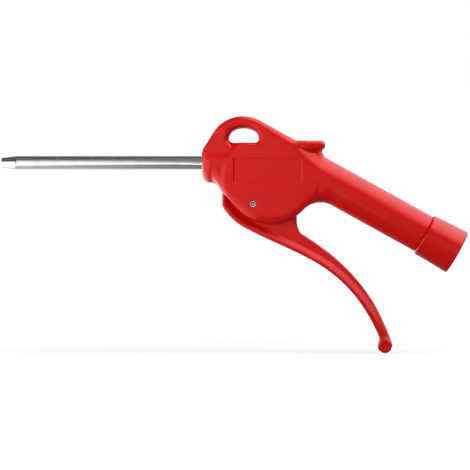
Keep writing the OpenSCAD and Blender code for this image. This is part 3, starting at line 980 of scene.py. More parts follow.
@dataclass(frozen=True)
class SealRubber:
    """Black nitrile rubber with a dusty bloom.

    Attributes:
        name: Name of the material.
        colour: Linear colour of the clean rubber.
        bloom: Linear colour of the dusty parts.
        dust_size: Size of the dusty parts.
        dust_band: Noise levels between which the dust fades in.
        gloss: Roughness of the clean rubber.
        dull: How much the dust adds to it.
        grain: Size and depth of the grain.
    """

    name: str
    colour: Colour = (0.016, 0.016, 0.018)
    bloom: Colour = (0.05, 0.05, 0.052)
    dust_size: float = 1.2
    dust_band: Point = (0.5, 0.8)
    gloss: float = 0.5
    dull: float = 0.25
    grain: Point = (0.15, 0.008)

    def build(self) -> bpy.types.Material:
        """Makes the material.

        Returns:
            The material.
        """
        material = bpy.data.materials.new(self.name)
        r = Recipe(material)
        dust = r.noise(self.dust_size, detail=4.0)
        colour = r.blend(dust.between(*self.dust_band), self.colour, self.bloom)
        grain_size, grain_depth = self.grain
        normal = r.bump(r.noise(grain_size), grain_depth)
        r.surface({"Base Color": colour, "Roughness": self.gloss + self.dull * dust, "Normal": normal})
        return material


class Finishes:
    """Every finish of the gun, built once and looked up by material slot."""

    def __init__(self) -> None:
        """Builds all of the materials."""
        red: Colour = (0.63, 0.0030, 0.0030)
        deep: Colour = (0.595, 0.0025, 0.0025)
        wanted = {
            Slot.RED_MOULDING: MouldedPlastic("red_moulding", red, deep, seam_half=0.25),
            Slot.RED_LEVER: MouldedPlastic("red_lever", red, deep, gloss=0.31, dull=0.43),
            Slot.RED_COLLAR: MouldedPlastic("red_collar", red, deep, gloss=0.27, dull=0.36),
            Slot.CHROMED_TUBE: DrawnMetal("chromed_tube", (0.80, 0.82, 0.815), (0.74, 0.76, 0.755),
                                          gloss=0.05, dull=0.11, lines=(0.03, 1.0, 1.0),
                                          line_size=0.25, line_depth=0.002),
            Slot.STAINLESS: DrawnMetal("stainless_steel", (0.62, 0.63, 0.64), (0.5, 0.5, 0.51),
                                       gloss=0.18, dull=0.32),
            Slot.SPRING_STEEL: DrawnMetal("spring_steel", (0.76, 0.70, 0.68), (0.58, 0.52, 0.50),
                                          gloss=0.40, dull=0.55),
            Slot.BRASS: DrawnMetal("brass", (0.72, 0.52, 0.23), (0.52, 0.35, 0.14), gloss=0.2, dull=0.38),
            Slot.RUBBER: SealRubber("seal_rubber"),
        }
        self.materials = {slot: finish.build() for slot, finish in wanted.items()}

    def dress(self, piece: bpy.types.Object, slot: Slot) -> None:
        """Puts a slot's material on a piece or a CAD node."""
        if len(piece.material_slots) == 0:
            piece.data.materials.append(self.materials[slot])
        for held in piece.material_slots:
            held.material = self.materials[slot]


def show(piece: bpy.types.Object, body: str, slot: Slot, finishes: Finishes, *nodes: str) -> None:
    """Dresses a new piece, lets it ride on a body and hides the nodes that it stands for.

    Args:
        piece: The new piece.
        body: Name of the CAD body that it moves with.
        slot: Its material slot.
        finishes: The built finishes.
        nodes: Names of the CAD nodes that it stands for.
    """
    finishes.dress(piece, slot)
    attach(piece, body)
    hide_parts(*nodes)
    log.info("%s: %d faces, for %s", piece.name, len(piece.data.polygons), ", ".join(nodes))


@dataclass(frozen=True)
class Bores:
    """What is bored into the moulding: valve chamber, nozzle socket, air ducts and pin hole.

    Attributes:
        overlap: How far one bore runs into the next.
        bush_r: Radius of the bore for the valve's bush.
        bush_l: Length of that bore above the slot's roof.
        neck_l: Length of the bush's neck above that bore.
        groove: Height of the circlip's groove above the roof, its radius and its width.
        chamber_r: Radius of the valve's chamber.
        disc_t: Thickness of the valve's disc.
        head_t: Thickness of the poppet's head.
        squeeze: Full turn of the lever, in degrees.
        arm: Arm of the lever's pad under the push pin.
        coiled: Height of the closed spring above the poppet's head.
        well: Radius and height of the spring's well above the chamber.
        nut_r: Radius of the gland nut's socket.
        ring_r: Radius of the stop ring's socket.
        outlet_r: Radius of the passage from the bush to the nozzle.
        outlet_up: Height of its end above the roof.
        outlet_in: Distance of its end from the valve's axis.
        duct_r: Radius of the handle's duct.
        duct_share: Place of its end along the handle, as a share of the belly's radius.
        feed_r: Radius of the feed from the duct to the chamber.
        pin_r: Radius of the lever's pin.
    """

    overlap: float = 1.0
    bush_r: float = 6.25
    bush_l: float = 16.6
    neck_l: float = 2.0
    groove: Triple = (1.5, 6.9, 1.02)
    chamber_r: float = 5.7
    disc_t: float = 1.6
    head_t: float = 1.6
    squeeze: float = 14.0
    arm: float = 10.0
    coiled: float = 0.7
    well: Point = (4.0, 3.0)
    nut_r: float = 7.02
    ring_r: float = 5.45
    outlet_r: float = 1.9
    outlet_up: float = 11.9
    outlet_in: float = 4.9
    duct_r: float = 6.0
    duct_share: float = 0.66
    feed_r: float = 3.0
    pin_r: float = 2.0

    def valve(self, x: Array, y: Array, z: Array) -> tuple[list[Array], float]:
        """Bores about the valve's axis.

        Args:
            x: Places along X.
            y: Places along Y.
            z: Places along Z.

        Returns:
            Distances to them, and the height of the chamber's middle.
        """
        step = GUN.slot_roof + self.bush_l
        seat = step + self.neck_l
        lift = math.radians(self.squeeze) * self.arm
        top = seat + 2 * GUN.slip + self.disc_t + self.head_t + lift + self.coiled
        groove_up, groove_r, groove_w = self.groove
        groove = GUN.slot_roof + groove_up
        well_r, well_h = self.well
        stages = [(self.bush_r, GUN.slot_roof - self.overlap, step), (groove_r, groove, groove + groove_w),
                  (self.chamber_r, step - self.overlap, top), (well_r, step, top + well_h)]
        r = np.hypot(x - GUN.valve_x, y)
        return [np.maximum(r - radius, np.abs(z - (low + high) / 2) - (high - low) / 2)
                for radius, low, high in stages], (seat + top) / 2

    def shape(self, x: Array, y: Array, z: Array) -> Array:
        """Distance to everything that is bored.

        Args:
            x: Places along X.
            y: Places along Y.
            z: Places along Z.

        Returns:
            The distance.
        """
        found, middle = self.valve(x, y, z)
        axis = np.hypot(y, z)
        socket = [(self.nut_r, GUN.ring_in), (self.ring_r, GUN.socket_end),
                  (GUN.tube_seat_r + GUN.slip, GUN.tube_end + GUN.slip)]
        found += [np.maximum(axis - radius, x - end) for radius, end in socket]
        outlet = (GUN.valve_x - self.outlet_in, GUN.slot_roof + self.outlet_up)
        found.append(rod(x, y, z, (GUN.tube_end - self.outlet_r, 0.0), outlet, self.outlet_r))
        s, w = GUN.on_handle(x, z)
        pipe = np.hypot(w, y)
        duct_end = GUN.belly_r * self.duct_share
        insert_end = GUN.handle_l - GUN.flange_t - GUN.insert_l
        found.append(np.maximum(pipe - GUN.insert_r - GUN.seat_fit, insert_end - s))
        found.append(np.maximum(pipe - self.duct_r, duct_end - s))
        feed = GUN.foot + (duct_end + self.overlap) * GUN.along
        found.append(rod(x, y, z, (GUN.valve_x + self.chamber_r / 2, middle), feed, self.feed_r))
        found.append(disc(x, z, GUN.pivot, self.pin_r + GUN.seat_fit))
        return reduce(np.minimum, found)


@dataclass
class Moulding:
    """The moulded body: head with its eye and hand stop, nose, handle and everything cut into them.

    Attributes:
        hump: Centre of the hump that carries the hanging eye, with its radius after it.
        nose_top: Centre of the nose's upper corner, with its radius after it.
        nose_r: Radius of the nose boss.
        nose_edge: Radius of the boss's rim.
        head_middle: Point that the rim's directions are taken from.
        edge_turns: Directions from that point, in degrees, at which the rim's radius is set.
        edge_radii: Radius of the rim in each of those directions.
        root_upper: Where the handle's upper corners start to round and where they end, along the handle.
        root_lower: The same for its lower corners.
        root_edge: Radius of the handle's corners where they start.
        root_fade: Where the rim starts to change from the head's to the handle's, and over what length.
        root_blend: Height of the band round the handle's axis in which upper and lower corners blend.
        throat_r: Radius of the hollow between belly and handle.
        throat_dip: How far the cheeks dip above that hollow.
        dip_run: Distance outside the belly over which they dip.
        dip_under: Distance below the handle's axis from which they dip, and over what further distance.
        boss_blend: Width in which the boss runs into the body, and what it gains below and behind it.
        boss_run: Distance behind the nose where that gain starts, and over what length.
        boss_drop: Distance below the nozzle's axis over which it starts.
        tab_x: Place of the hand stop's free end.
        tab_z: Height of the hand stop's top.
        tab_t: Thickness of the hand stop.
        tab_half: Half width of the hand stop.
        tab_taper: How fast it widens from its free end.
        tab_root: Half width that it widens to.
        tab_corner: Radius of its corners, seen from above.
        tab_flat: Half height of the flat between its rounded rims.
        tab_blend: Width in which it runs into the body.
        block_half: Half width of the block that carries the tab, at the tab.
        block_draft: How fast the block widens downwards.
        block_foot: Half width that it widens to.
        block_edge: Radius of that block's edges.
        block_in: How far the block's end lies behind the tab's.
        block_blend: Width in which the block runs into the body.
        eye_middle: Middle of the hanging eye's floor.
        eye_half: Half length of the eye.
        eye_h: Height of the eye.
        eye_arch_r: Radius of the eye's arched roof.
        eye_corner: Radius of the eye's corners.
        funnel_up: Height of the funnel's middle above the eye's floor, as a share of the eye's height.
        funnel_turns: Directions from that middle, in degrees, at which the funnel's radius is set.
        funnel_radii: Radius of the eye's funnel in each of those directions.
        plate_middle: Middle of the nameplate recess.
        plate_size: Length and height of the recess.
        plate_depth: Depth of the recess.
        plate_corner: Radius of its corners.
        slot_front: Place of the lever slot's front before the chin, as a share of the chin's radius.
        slot_corner: Radius of the slot's corners.
        break_edge: Radius of every other moulded edge.
        bore_edge: Radius of the bores' edges.
        bores: What is bored into it.
        grid: Grid that its surface is found on.
    """

    hump: Triple = (24.7, 6.18, 21.3)
    nose_top: Triple = (6.6, 5.0, 6.5)
    nose_r: float = 11.9
    nose_edge: float = 5.0
    head_middle: Point = (34.0, -6.0)
    edge_turns: tuple[float, ...] = (37, 60, 80, 100, 120, 140, 163, 173,
                                     200, 216, 232, 245, 260, 275, 300, 330)
    edge_radii: tuple[float, ...] = (5, 4.4, 3.6, 3, 2.2, 1.7, 1.5, 2.6,
                                     3.5, 3.6, 4.9, 5.8, 6.4, 6.3, 5, 4)
    root_upper: Point = (-4.0, 27.0)
    root_lower: Point = (8.0, 40.0)
    root_edge: float = 5.0
    root_fade: Point = (1.0, 9.0)
    root_blend: float = 16.0
    throat_r: float = 14.2
    throat_dip: float = 1.2
    dip_run: float = 3.0
    dip_under: Point = (3.0, 6.0)
    boss_blend: Point = (1.0, 4.0)
    boss_run: Point = (1.0, 8.0)
    boss_drop: float = 10.0
    tab_x: float = 73.8
    tab_z: float = 13.0
    tab_t: float = 5.4
    tab_half: float = 9.8
    tab_taper: float = 0.13
    tab_root: float = 11.3
    tab_corner: float = 3.5
    tab_flat: float = 0.1
    tab_blend: float = 1.0
    block_half: float = 6.6
    block_draft: float = 0.5
    block_foot: float = 7.8
    block_edge: float = 2.5
    block_in: float = 1.8
    block_blend: float = 3.0
    eye_middle: Point = (25.1, 11.7)
    eye_half: float = 9.75
    eye_h: float = 9.2
    eye_arch_r: float = 12.3
    eye_corner: float = 3.6
    funnel_up: float = 0.4
    funnel_turns: tuple[float, ...] = (0, 45, 90, 135, 180, 215, 250, 290, 325)
    funnel_radii: tuple[float, ...] = (3.2, 3.2, 3.0, 3.8, 4.6, 4.2, 0.9, 0.9, 2.6)
    plate_middle: Point = (39.3, -5.3)
    plate_size: Point = (40.8, 15.0)
    plate_depth: float = 0.5
    plate_corner: float = 0.8
    slot_front: float = 0.47
    slot_corner: float = 1.2
    break_edge: float = 0.4
    bore_edge: float = 0.15
    bores: Bores = Bores()
    grid: Grid = (((-0.77, 78.23, 157.4), (0.5, 1.0)), ((-12.79, -6.4, 6.4, 12.79), (0.47, 0.9, 0.47)),
                  ((-65.3, -38.23, 28.77), (1.0, 0.5)))

    @property
    def throat(self) -> tuple[float, float]:
        """The middle of the throat's hollow.

        Returns:
            Its place along the handle's axis and across it.
        """
        across = GUN.belly_r - 2 * GUN.handle_r - self.throat_r
        reach = GUN.belly_r + self.throat_r
        return math.sqrt(reach ** 2 - across ** 2), GUN.handle_r - GUN.belly_r + across

    def path(self, x: Array, z: Array) -> Array:
        """Way along the handle, counted round the throat from its tangent with the belly.

        In the throat's sector the way is the throat's run times the share of the turn from the
        belly's tangent to the handle's, and never more than the distance along the handle.

        Args:
            x: Places along X.
            z: Places along Z.

        Returns:
            The way.
        """
        s, w = GUN.on_handle(x, z)
        run, drop = self.throat
        first = math.atan2(GUN.handle_r - GUN.belly_r - drop, -run)
        turn = np.arctan2(w - drop, np.minimum(s - run, -TINY))
        round_throat = run * (first - turn) / (first - math.pi / 2)
        round_throat = np.where(turn < 0, -run, round_throat)
        return np.where(s < run, np.minimum(round_throat, s), s)

    def outline(self, x: Array, z: Array) -> Array:
        """Distance to the whole side view: hump, belly, chin, nose, throat and handle.

        Args:
            x: Places along X.
            z: Places along Z.

        Returns:
            The distance.
        """
        belly, chin = GUN.belly, GUN.chin
        hump, nose = np.array(self.hump[:2]), np.array(self.nose_top[:2])
        head = disc_pair(x, z, belly, GUN.belly_r, hump, self.hump[2])
        head = np.minimum(head, disc_pair(x, z, belly, GUN.belly_r, chin, GUN.chin_r))
        head = np.minimum(head, disc_pair(x, z, hump, self.hump[2], chin, GUN.chin_r))
        head = np.minimum(head, disc_pair(x, z, hump, self.hump[2], nose, self.nose_top[2]))
        s, w = GUN.on_handle(x, z)
        run, drop = self.throat
        hollow = self.throat_r - np.hypot(s - run, w - drop)
        grip = np.maximum(w - GUN.handle_r, np.where(s < run, hollow, -w - GUN.handle_r))
        return np.where(self.path(x, z) > 0, np.minimum(head, grip), head)

    def rim(self, x: Array, z: Array) -> tuple[Array, Array]:
        """Radius of the rim and half thickness at each place of the side view.

        Round the head the radius follows the direction from the head's middle. Along the handle it
        grows from the root's to the handle's own, sooner above the axis than below it, which turns
        the slab into a round bar. The cheeks dip a little outside the belly, above the throat.

        Args:
            x: Places along X.
            z: Places along Z.

        Returns:
            The radius and the half thickness.
        """
        s, w = GUN.on_handle(x, z)
        way = self.path(x, z)
        turn = np.degrees(np.arctan2(z - self.head_middle[1], x - self.head_middle[0]))
        head = np.interp(turn, self.edge_turns, self.edge_radii, period=360)
        upper = ease((s - self.root_upper[0]) / (self.root_upper[1] - self.root_upper[0]))
        lower = ease((way - self.root_lower[0]) / (self.root_lower[1] - self.root_lower[0]))
        share = lower + (upper - lower) * ease(0.5 + w / self.root_blend)
        grip = self.root_edge + (GUN.handle_r - self.root_edge) * share
        start, length = self.root_fade
        edge = head + (grip - head) * ease((np.where(w > 0, s, way) - start) / length)
        half = GUN.half_t + (GUN.handle_r - GUN.half_t) * share
        under, further = self.dip_under
        outside = ease(disc(x, z, GUN.belly, GUN.belly_r) / self.dip_run)
        dip = outside * ease((-w - under) / further) * (1.0 - lower)
        return edge, half - self.throat_dip * dip

    def slab(self, x: Array, y: Array, z: Array) -> Array:
        """Distance to the body and handle, with the nose boss and the spigot inside the collar.

        Args:
            x: Places along X.
            y: Places along Y.
            z: Places along Z.

        Returns:
            The distance.
        """
        edge, half = self.rim(x, z)
        s, w = GUN.on_handle(x, z)
        body = and_round(self.outline(x, z), np.abs(y) - half, edge)
        body = and_round(body, s - (GUN.handle_l - GUN.collar_l), self.break_edge)
        spigot = np.maximum(np.hypot(w, y) - GUN.spigot_r, s - (GUN.handle_l - GUN.flange_t - GUN.slip))
        body = np.minimum(body, np.maximum(spigot, -s))
        boss = and_round(np.hypot(y, z) - self.nose_r, -x, self.nose_edge)
        top = np.maximum(self.outline(x, z), x - GUN.foot[0])
        boss = np.maximum(boss, np.where(z > self.nose_top[1], top, x - GUN.chin[0]))
        width, gain = self.boss_blend
        start, length = self.boss_run
        width = width + gain * ease((x - start) / length) * ease(-z / self.boss_drop)
        return smooth_union(body, boss, width)

    def tab(self, x: Array, y: Array, z: Array) -> Array:
        """Distance to the hand stop's tab.

        Args:
            x: Places along X.
            y: Places along Y.
            z: Places along Z.

        Returns:
            The distance.
        """
        r = self.tab_t / 2
        half = np.minimum(self.tab_half + self.tab_taper * (self.tab_x - x), self.tab_root)
        plan = and_round(x - self.tab_x, np.abs(y) - half, self.tab_corner)
        tab = and_round(plan, np.abs(z - self.tab_z + r) - r, r - self.tab_flat)
        return np.maximum(tab, GUN.belly_x - x)

    def block(self, x: Array, y: Array, z: Array) -> Array:
        """Distance to the block that carries the tab.

        Args:
            x: Places along X.
            y: Places along Y.
            z: Places along Z.

        Returns:
            The distance.
        """
        draft = self.block_draft * (self.tab_z - self.tab_t - z)
        half = np.minimum(self.block_half + draft, self.block_foot)
        plan = and_round(x - self.tab_x + self.block_in, np.abs(y) - half, self.block_edge)
        level = np.abs(z - (self.tab_z - self.tab_t) / 2) - self.tab_z / 2
        return np.maximum(np.maximum(plan, level), GUN.foot[0] - x)

    def eye(self, x: Array, z: Array) -> tuple[Array, Array]:
        """The D-shaped eye, seen from the side.

        Args:
            x: Places along X.
            z: Places along Z.

        Returns:
            Distance to its outline, and the radius of the funnel round it.
        """
        ex, ez = self.eye_middle
        arch = disc(x, z, (ex, ez + self.eye_h - self.eye_arch_r), self.eye_arch_r)
        sides = np.abs(x - ex) - self.eye_half
        outline = and_round(and_round(arch, sides, self.eye_corner), ez - z, self.eye_corner)
        turn = np.degrees(np.arctan2(z - ez - self.eye_h * self.funnel_up, x - ex))
        return outline, np.interp(turn, self.funnel_turns, self.funnel_radii, period=360)

    def nameplate(self, x: Array, y: Array, z: Array) -> Array:
        """Distance to the shallow bare recess on each cheek.

        Args:
            x: Places along X.
            y: Places along Y.
            z: Places along Z.

        Returns:
            The distance.
        """
        across = np.abs(x - self.plate_middle[0]) - self.plate_size[0] / 2
        up = np.abs(z - self.plate_middle[1]) - self.plate_size[1] / 2
        floor = GUN.half_t - self.plate_depth - np.abs(y)
        return np.maximum(and_round(across, up, self.plate_corner), floor)

    def slot(self, x: Array, y: Array, z: Array) -> Array:
        """Distance to the lever's slot: open below, with a slanted front.

        Args:
            x: Places along X.
            y: Places along Y.
            z: Places along Z.

        Returns:
            The distance.
        """
        roof = z - GUN.slot_roof
        rear = x - GUN.slot_rear
        front = (GUN.chin[0] - GUN.chin_r * self.slot_front - x + roof) / math.sqrt(2)
        outline = and_round(and_round(roof, rear, self.slot_corner), front, self.slot_corner)
        return np.maximum(outline, np.abs(y) - GUN.slot_half)

    def shape(self, x: Array, y: Array, z: Array) -> Array:
        """Distance to the finished moulding.

        Args:
            x: Places along X.
            y: Places along Y.
            z: Places along Z.

        Returns:
            The distance.
        """
        solid = smooth_union(self.slab(x, y, z), self.block(x, y, z), self.block_blend)
        solid = smooth_union(solid, self.tab(x, y, z), self.tab_blend)
        outline, funnel = self.eye(x, z)
        solid = and_round(solid, -outline, funnel)
        solid = and_round(solid, -self.slot(x, y, z), self.break_edge)
        solid = and_round(solid, -self.nameplate(x, y, z), self.break_edge)
        return and_round(solid, -self.bores.shape(x, y, z), self.bore_edge)

    def build(self, finishes: Finishes) -> None:
        """Makes the moulding."""
        piece = net(self.shape, self.grid).to_object("moulded_body")
        show(piece, "gun", Slot.RED_MOULDING, finishes, "body")


@dataclass
class Lever:
    """The squeeze lever: a web with a wider flange along its outer edge, a hub, a pad and an end bead.

    Attributes:
        reach: Horizontal reach from the pivot to the end bead.
        drop: Drop from the pivot to the end bead.
        bead_r: Radius of the end bead.
        bead_half: Half width of the end bead.
        neck_w: Depth of the lever above its bead, measured level.
        neck: Place of the neck's inner edge from the bead's middle.
        bead_corners: Outline's corners inside the bead, from its middle and in bead radii.
        stand_off: Distance of the outer edge outside the belly.
        arc_end: Direction from the belly's middle at which the outer edge leaves its arc, in degrees.
        tail_turns: Directions of the outer edge from there to the neck, in degrees.
        tail_pulls: Pulls of that stretch.
        top: Upper end of the inner edge, from the slot's rear wall and the pivot's height.
        knee: Its knee, from the same.
        bend_turns: Directions of the inner edge from its upper end to the knee, in degrees.
        bend_pulls: Pulls of that stretch.
        web_turns: Directions of the inner edge from the knee to the neck, in degrees.
        web_pulls: Pulls of that stretch.
        front_share: Distance of the front end before the chin's middle, as a share of the chin's radius.
        thinning: Depths below the outer edge between which the flange thins into the web.
        narrowing: Stretch above the bead in which the flange narrows to the bead's width.
        rim: Radius of the rim.
        side_play: Clearance on each side of the slot.
        web_half: Half thickness of the web.
        hub_r: Radius of the hub.
        pin_r: Radius of the bore for the pin.
        edges: Radii of the hub's, the bead's and the bore's rims.
        pad_drop: Height of the slot's roof above the pad's top.
        pad_past: How far the pad reaches past the valve's axis.
        pad_t: Thickness of the pad.
        pad_half: Half width of the pad.
        pad_edge: Radius of the pad's edges.
        blends: Widths in which the bead, the hub and the pad run into the arm.
        steps: Points along each curved stretch.
        grid: Grid that its surface is found on.
        bead: Middle of the end bead.
        pad_z: Height of the pad's top.
        outer: Outer edge of the outline, from the front end to the neck.
        inner: Inner edge of the outline, from the hub to the neck.
    """

    reach: float = 79.1
    drop: float = 85.2
    bead_r: float = 3.99
    bead_half: float = 5.5
    neck_w: float = 6.2
    neck: Point = (2.9, 5.8)
    bead_corners: tuple[Point, Point] = ((-0.6, 0.7), (0.9, 0.3))
    stand_off: float = 6.0
    arc_end: float = -118.0
    tail_turns: Point = (-28.0, -66.0)
    tail_pulls: Point = (0.36, 0.47)
    top: Point = (-3.2, -9.8)
    knee: Point = (0.4, -18.2)
    bend_turns: Point = (-90.0, -32.0)
    bend_pulls: Point = (1 / 3, 1 / 3)
    web_turns: Point = (-32.0, -69.9)
    web_pulls: Point = (0.384, 0.36)
    front_share: float = 0.8
    thinning: Point = (0.8, 6.0)
    narrowing: float = 25.0
    rim: float = 1.5
    side_play: float = 0.4
    web_half: float = 4.2
    hub_r: float = 6.5
    pin_r: float = 2.05
    edges: Triple = (0.5, 1.2, 0.3)
    pad_drop: float = 3.3
    pad_past: float = 3.5
    pad_t: float = 4.0
    pad_half: float = 5.0
    pad_edge: float = 0.4
    blends: Triple = (3.0, 1.2, 0.8)
    steps: int = 36
    grid: Grid = (((11.03, 66.0, 115.1), (0.5, 0.55)), ((-7.19, 7.19), (0.45,)),
                  ((-115.17, -66.0, -16.9), (0.55, 0.5)))
    bead: Array = field(init=False, repr=False)
    pad_z: float = field(init=False, repr=False)
    outer: Array = field(init=False, repr=False)
    inner: Array = field(init=False, repr=False)

    def __post_init__(self) -> None:
        """Works out the two edges of the lever's outline."""
        self.bead = GUN.pivot + np.array([self.reach, -self.drop])
        self.pad_z = GUN.slot_roof - self.pad_drop
        front = GUN.chin[0] - GUN.chin_r * self.front_share
        r = GUN.belly_r + self.stand_off
        arc_start = -math.degrees(math.acos((front - GUN.belly[0]) / r))
        round_part = arc(GUN.belly, r, arc_start, self.arc_end, self.steps)
        neck_in = self.bead + np.array(self.neck)
        neck_out = neck_in - np.array([self.neck_w, 0.0])
        tail = cubic(round_part[-1], neck_out, self.tail_turns, self.tail_pulls, self.steps)
        self.outer = np.vstack([[[front, self.pad_z]], round_part, tail[1:]])
        top, knee = (np.array([GUN.slot_rear, GUN.pivot[1]]) + place for place in (self.top, self.knee))
        upper = cubic(top, knee, self.bend_turns, self.bend_pulls, self.steps)
        lower = cubic(knee, neck_in, self.web_turns, self.web_pulls, self.steps)
        self.inner = np.vstack([[[top[0], top[1] + self.hub_r / 2]], upper, lower[1:]])

    def arm(self, x: Array, z: Array, aside: Array) -> Array:
        """The web with its flange, whose half width follows the depth below the outer edge.

        Args:
            x: Places along X.
            z: Places along Z.
            aside: Distances from the middle plane.

        Returns:
            The distance to it.
        """
        px, pz = np.broadcast_arrays(x, z)
        corners = self.bead + self.bead_r * np.array(self.bead_corners)
        pad_end = [[GUN.valve_x + self.pad_past, self.pad_z]]
        line = np.vstack([self.outer, corners, self.inner[::-1], pad_end])
        half = GUN.slot_half - self.side_play
        above_bead = (pz - self.bead[1] - self.bead_r) / self.narrowing
        flange = half + (self.bead_half - half) * ease(1.0 - above_bead)
        start, end = self.thinning
        thin = ease((to_line(px, pz, self.outer) - start) / (end - start))
        side = aside - flange + (flange - self.web_half) * thin
        return and_round(to_polygon(px, pz, line), side, self.rim)

    def shape(self, x: Array, y: Array, z: Array) -> Array:
        """Distance to the lever.

        Args:
            x: Places along X.
            y: Places along Y.
            z: Places along Z.

        Returns:
            The distance.
        """
        aside = np.abs(y)
        hub_edge, bead_edge, bore_edge = self.edges
        bead = and_round(disc(x, z, self.bead, self.bead_r), aside - self.bead_half, bead_edge)
        hub = and_round(disc(x, z, GUN.pivot, self.hub_r), aside - GUN.slot_half + self.side_play, hub_edge)
        pad_end = GUN.valve_x + self.pad_past
        along = np.abs(x - (GUN.pivot[0] + pad_end) / 2) - (pad_end - GUN.pivot[0]) / 2
        level = np.abs(z - self.pad_z + self.pad_t / 2) - self.pad_t / 2
        pad = and_round(and_round(along, level, self.pad_edge), aside - self.pad_half, self.pad_edge)
        solid = self.arm(x, z, aside)
        for part, width in zip((bead, hub, pad), self.blends):
            solid = smooth_union(solid, part, width)
        return and_round(solid, -disc(x, z, GUN.pivot, self.pin_r), bore_edge)

    def build(self, finishes: Finishes) -> None:
        """Makes the lever."""
        piece = net(self.shape, self.grid).to_object("squeeze_lever")
        show(piece, "lever", Slot.RED_LEVER, finishes, "lever")


@dataclass
class Nozzle:
    """The long tube with its swaged tip, and the gland nut that holds it in the nose.

    Attributes:
        length: Length of the tube outside the body.
        wall: Wall thickness of the tube.
        tip_r: Outer radius of the swaged outlet.
        swage_l: Length of the swaged tip.
        edges: Radii of the section's corners, from its inner end along the outside to the lip and back.
        steps: Steps round each of those corners.
        nut_r: Outer radius of the gland nut.
        nut_slot: Half width and depth of the nut's spanner slots.
        nut_edges: Radii of the nut's outer rims, of its bore's rims and of its slots' edges.
        nut_grid: Grid that the nut's surface is found on.
    """

    length: float = 120.3
    wall: float = 1.0
    tip_r: float = 2.9
    swage_l: float = 8.7
    edges: tuple[float, ...] = (0.2, 0.3, 0.1, 0.1, 12.0, 0.5, 0.3, 12.0)
    steps: int = 12
    nut_r: float = 7.0
    nut_slot: Point = (0.8, 1.2)
    nut_edges: Triple = (0.35, 0.2, 0.12)
    nut_grid: Grid = (((-0.31, 3.1, 9.63), (0.25, 0.5)), ((-7.61, 7.61), (0.25,)), ((-7.63, 7.63), (0.25,)))

    def tube(self) -> Skin:
        """The tube: outer wall, swage, rounded lip, bore and the turned-down end inside the nose.

        Returns:
            The surface.
        """
        r, seat, end, tip = GUN.nozzle_r, GUN.tube_seat_r, GUN.tube_end, self.tip_r
        swage = self.swage_l - self.length
        corners = [(end, r - self.wall), (end, seat), (0.0, seat), (0.0, r), (swage, r), (-self.length, tip),
                   (-self.length, tip - self.wall), (swage, r - self.wall)]
        return revolve(*rounded(corners, self.edges, self.steps), Axis.NOZZLE)

    def nut(self) -> Skin:
        """The gland nut: a chamfered ring with two spanner slots across its face.

        Returns:
            The surface.
        """
        x0, x1 = GUN.gland_in, GUN.gland_in + GUN.gland_l
        half, deep = self.nut_slot
        rim, bore_rim, slot_rim = self.nut_edges

        def shape(x: Array, y: Array, z: Array) -> Array:
            """Distance to the slotted ring.

            Args:
                x: Places along X.
                y: Places along Y.
                z: Places along Z.

            Returns:
                The distance.
            """
            axis = np.hypot(y, z)
            ring = and_round(np.abs(x - (x0 + x1) / 2) - (x1 - x0) / 2, axis - self.nut_r, rim)
            ring = and_round(ring, GUN.tube_seat_r + GUN.slip - axis, bore_rim)
            slots = np.maximum(np.abs(y) - half, x - x0 - deep)
            return and_round(ring, -slots, slot_rim)

        return net(shape, self.nut_grid)

    def build(self, finishes: Finishes) -> None:
        """Makes the tube and the nut."""
        show(self.tube().to_object("chromed_nozzle"), "gun", Slot.CHROMED_TUBE, finishes, "nozzle_tube")
        show(self.nut().to_object("slotted_gland_nut"), "gun", Slot.BRASS, finishes, "nozzle_gland_nut")


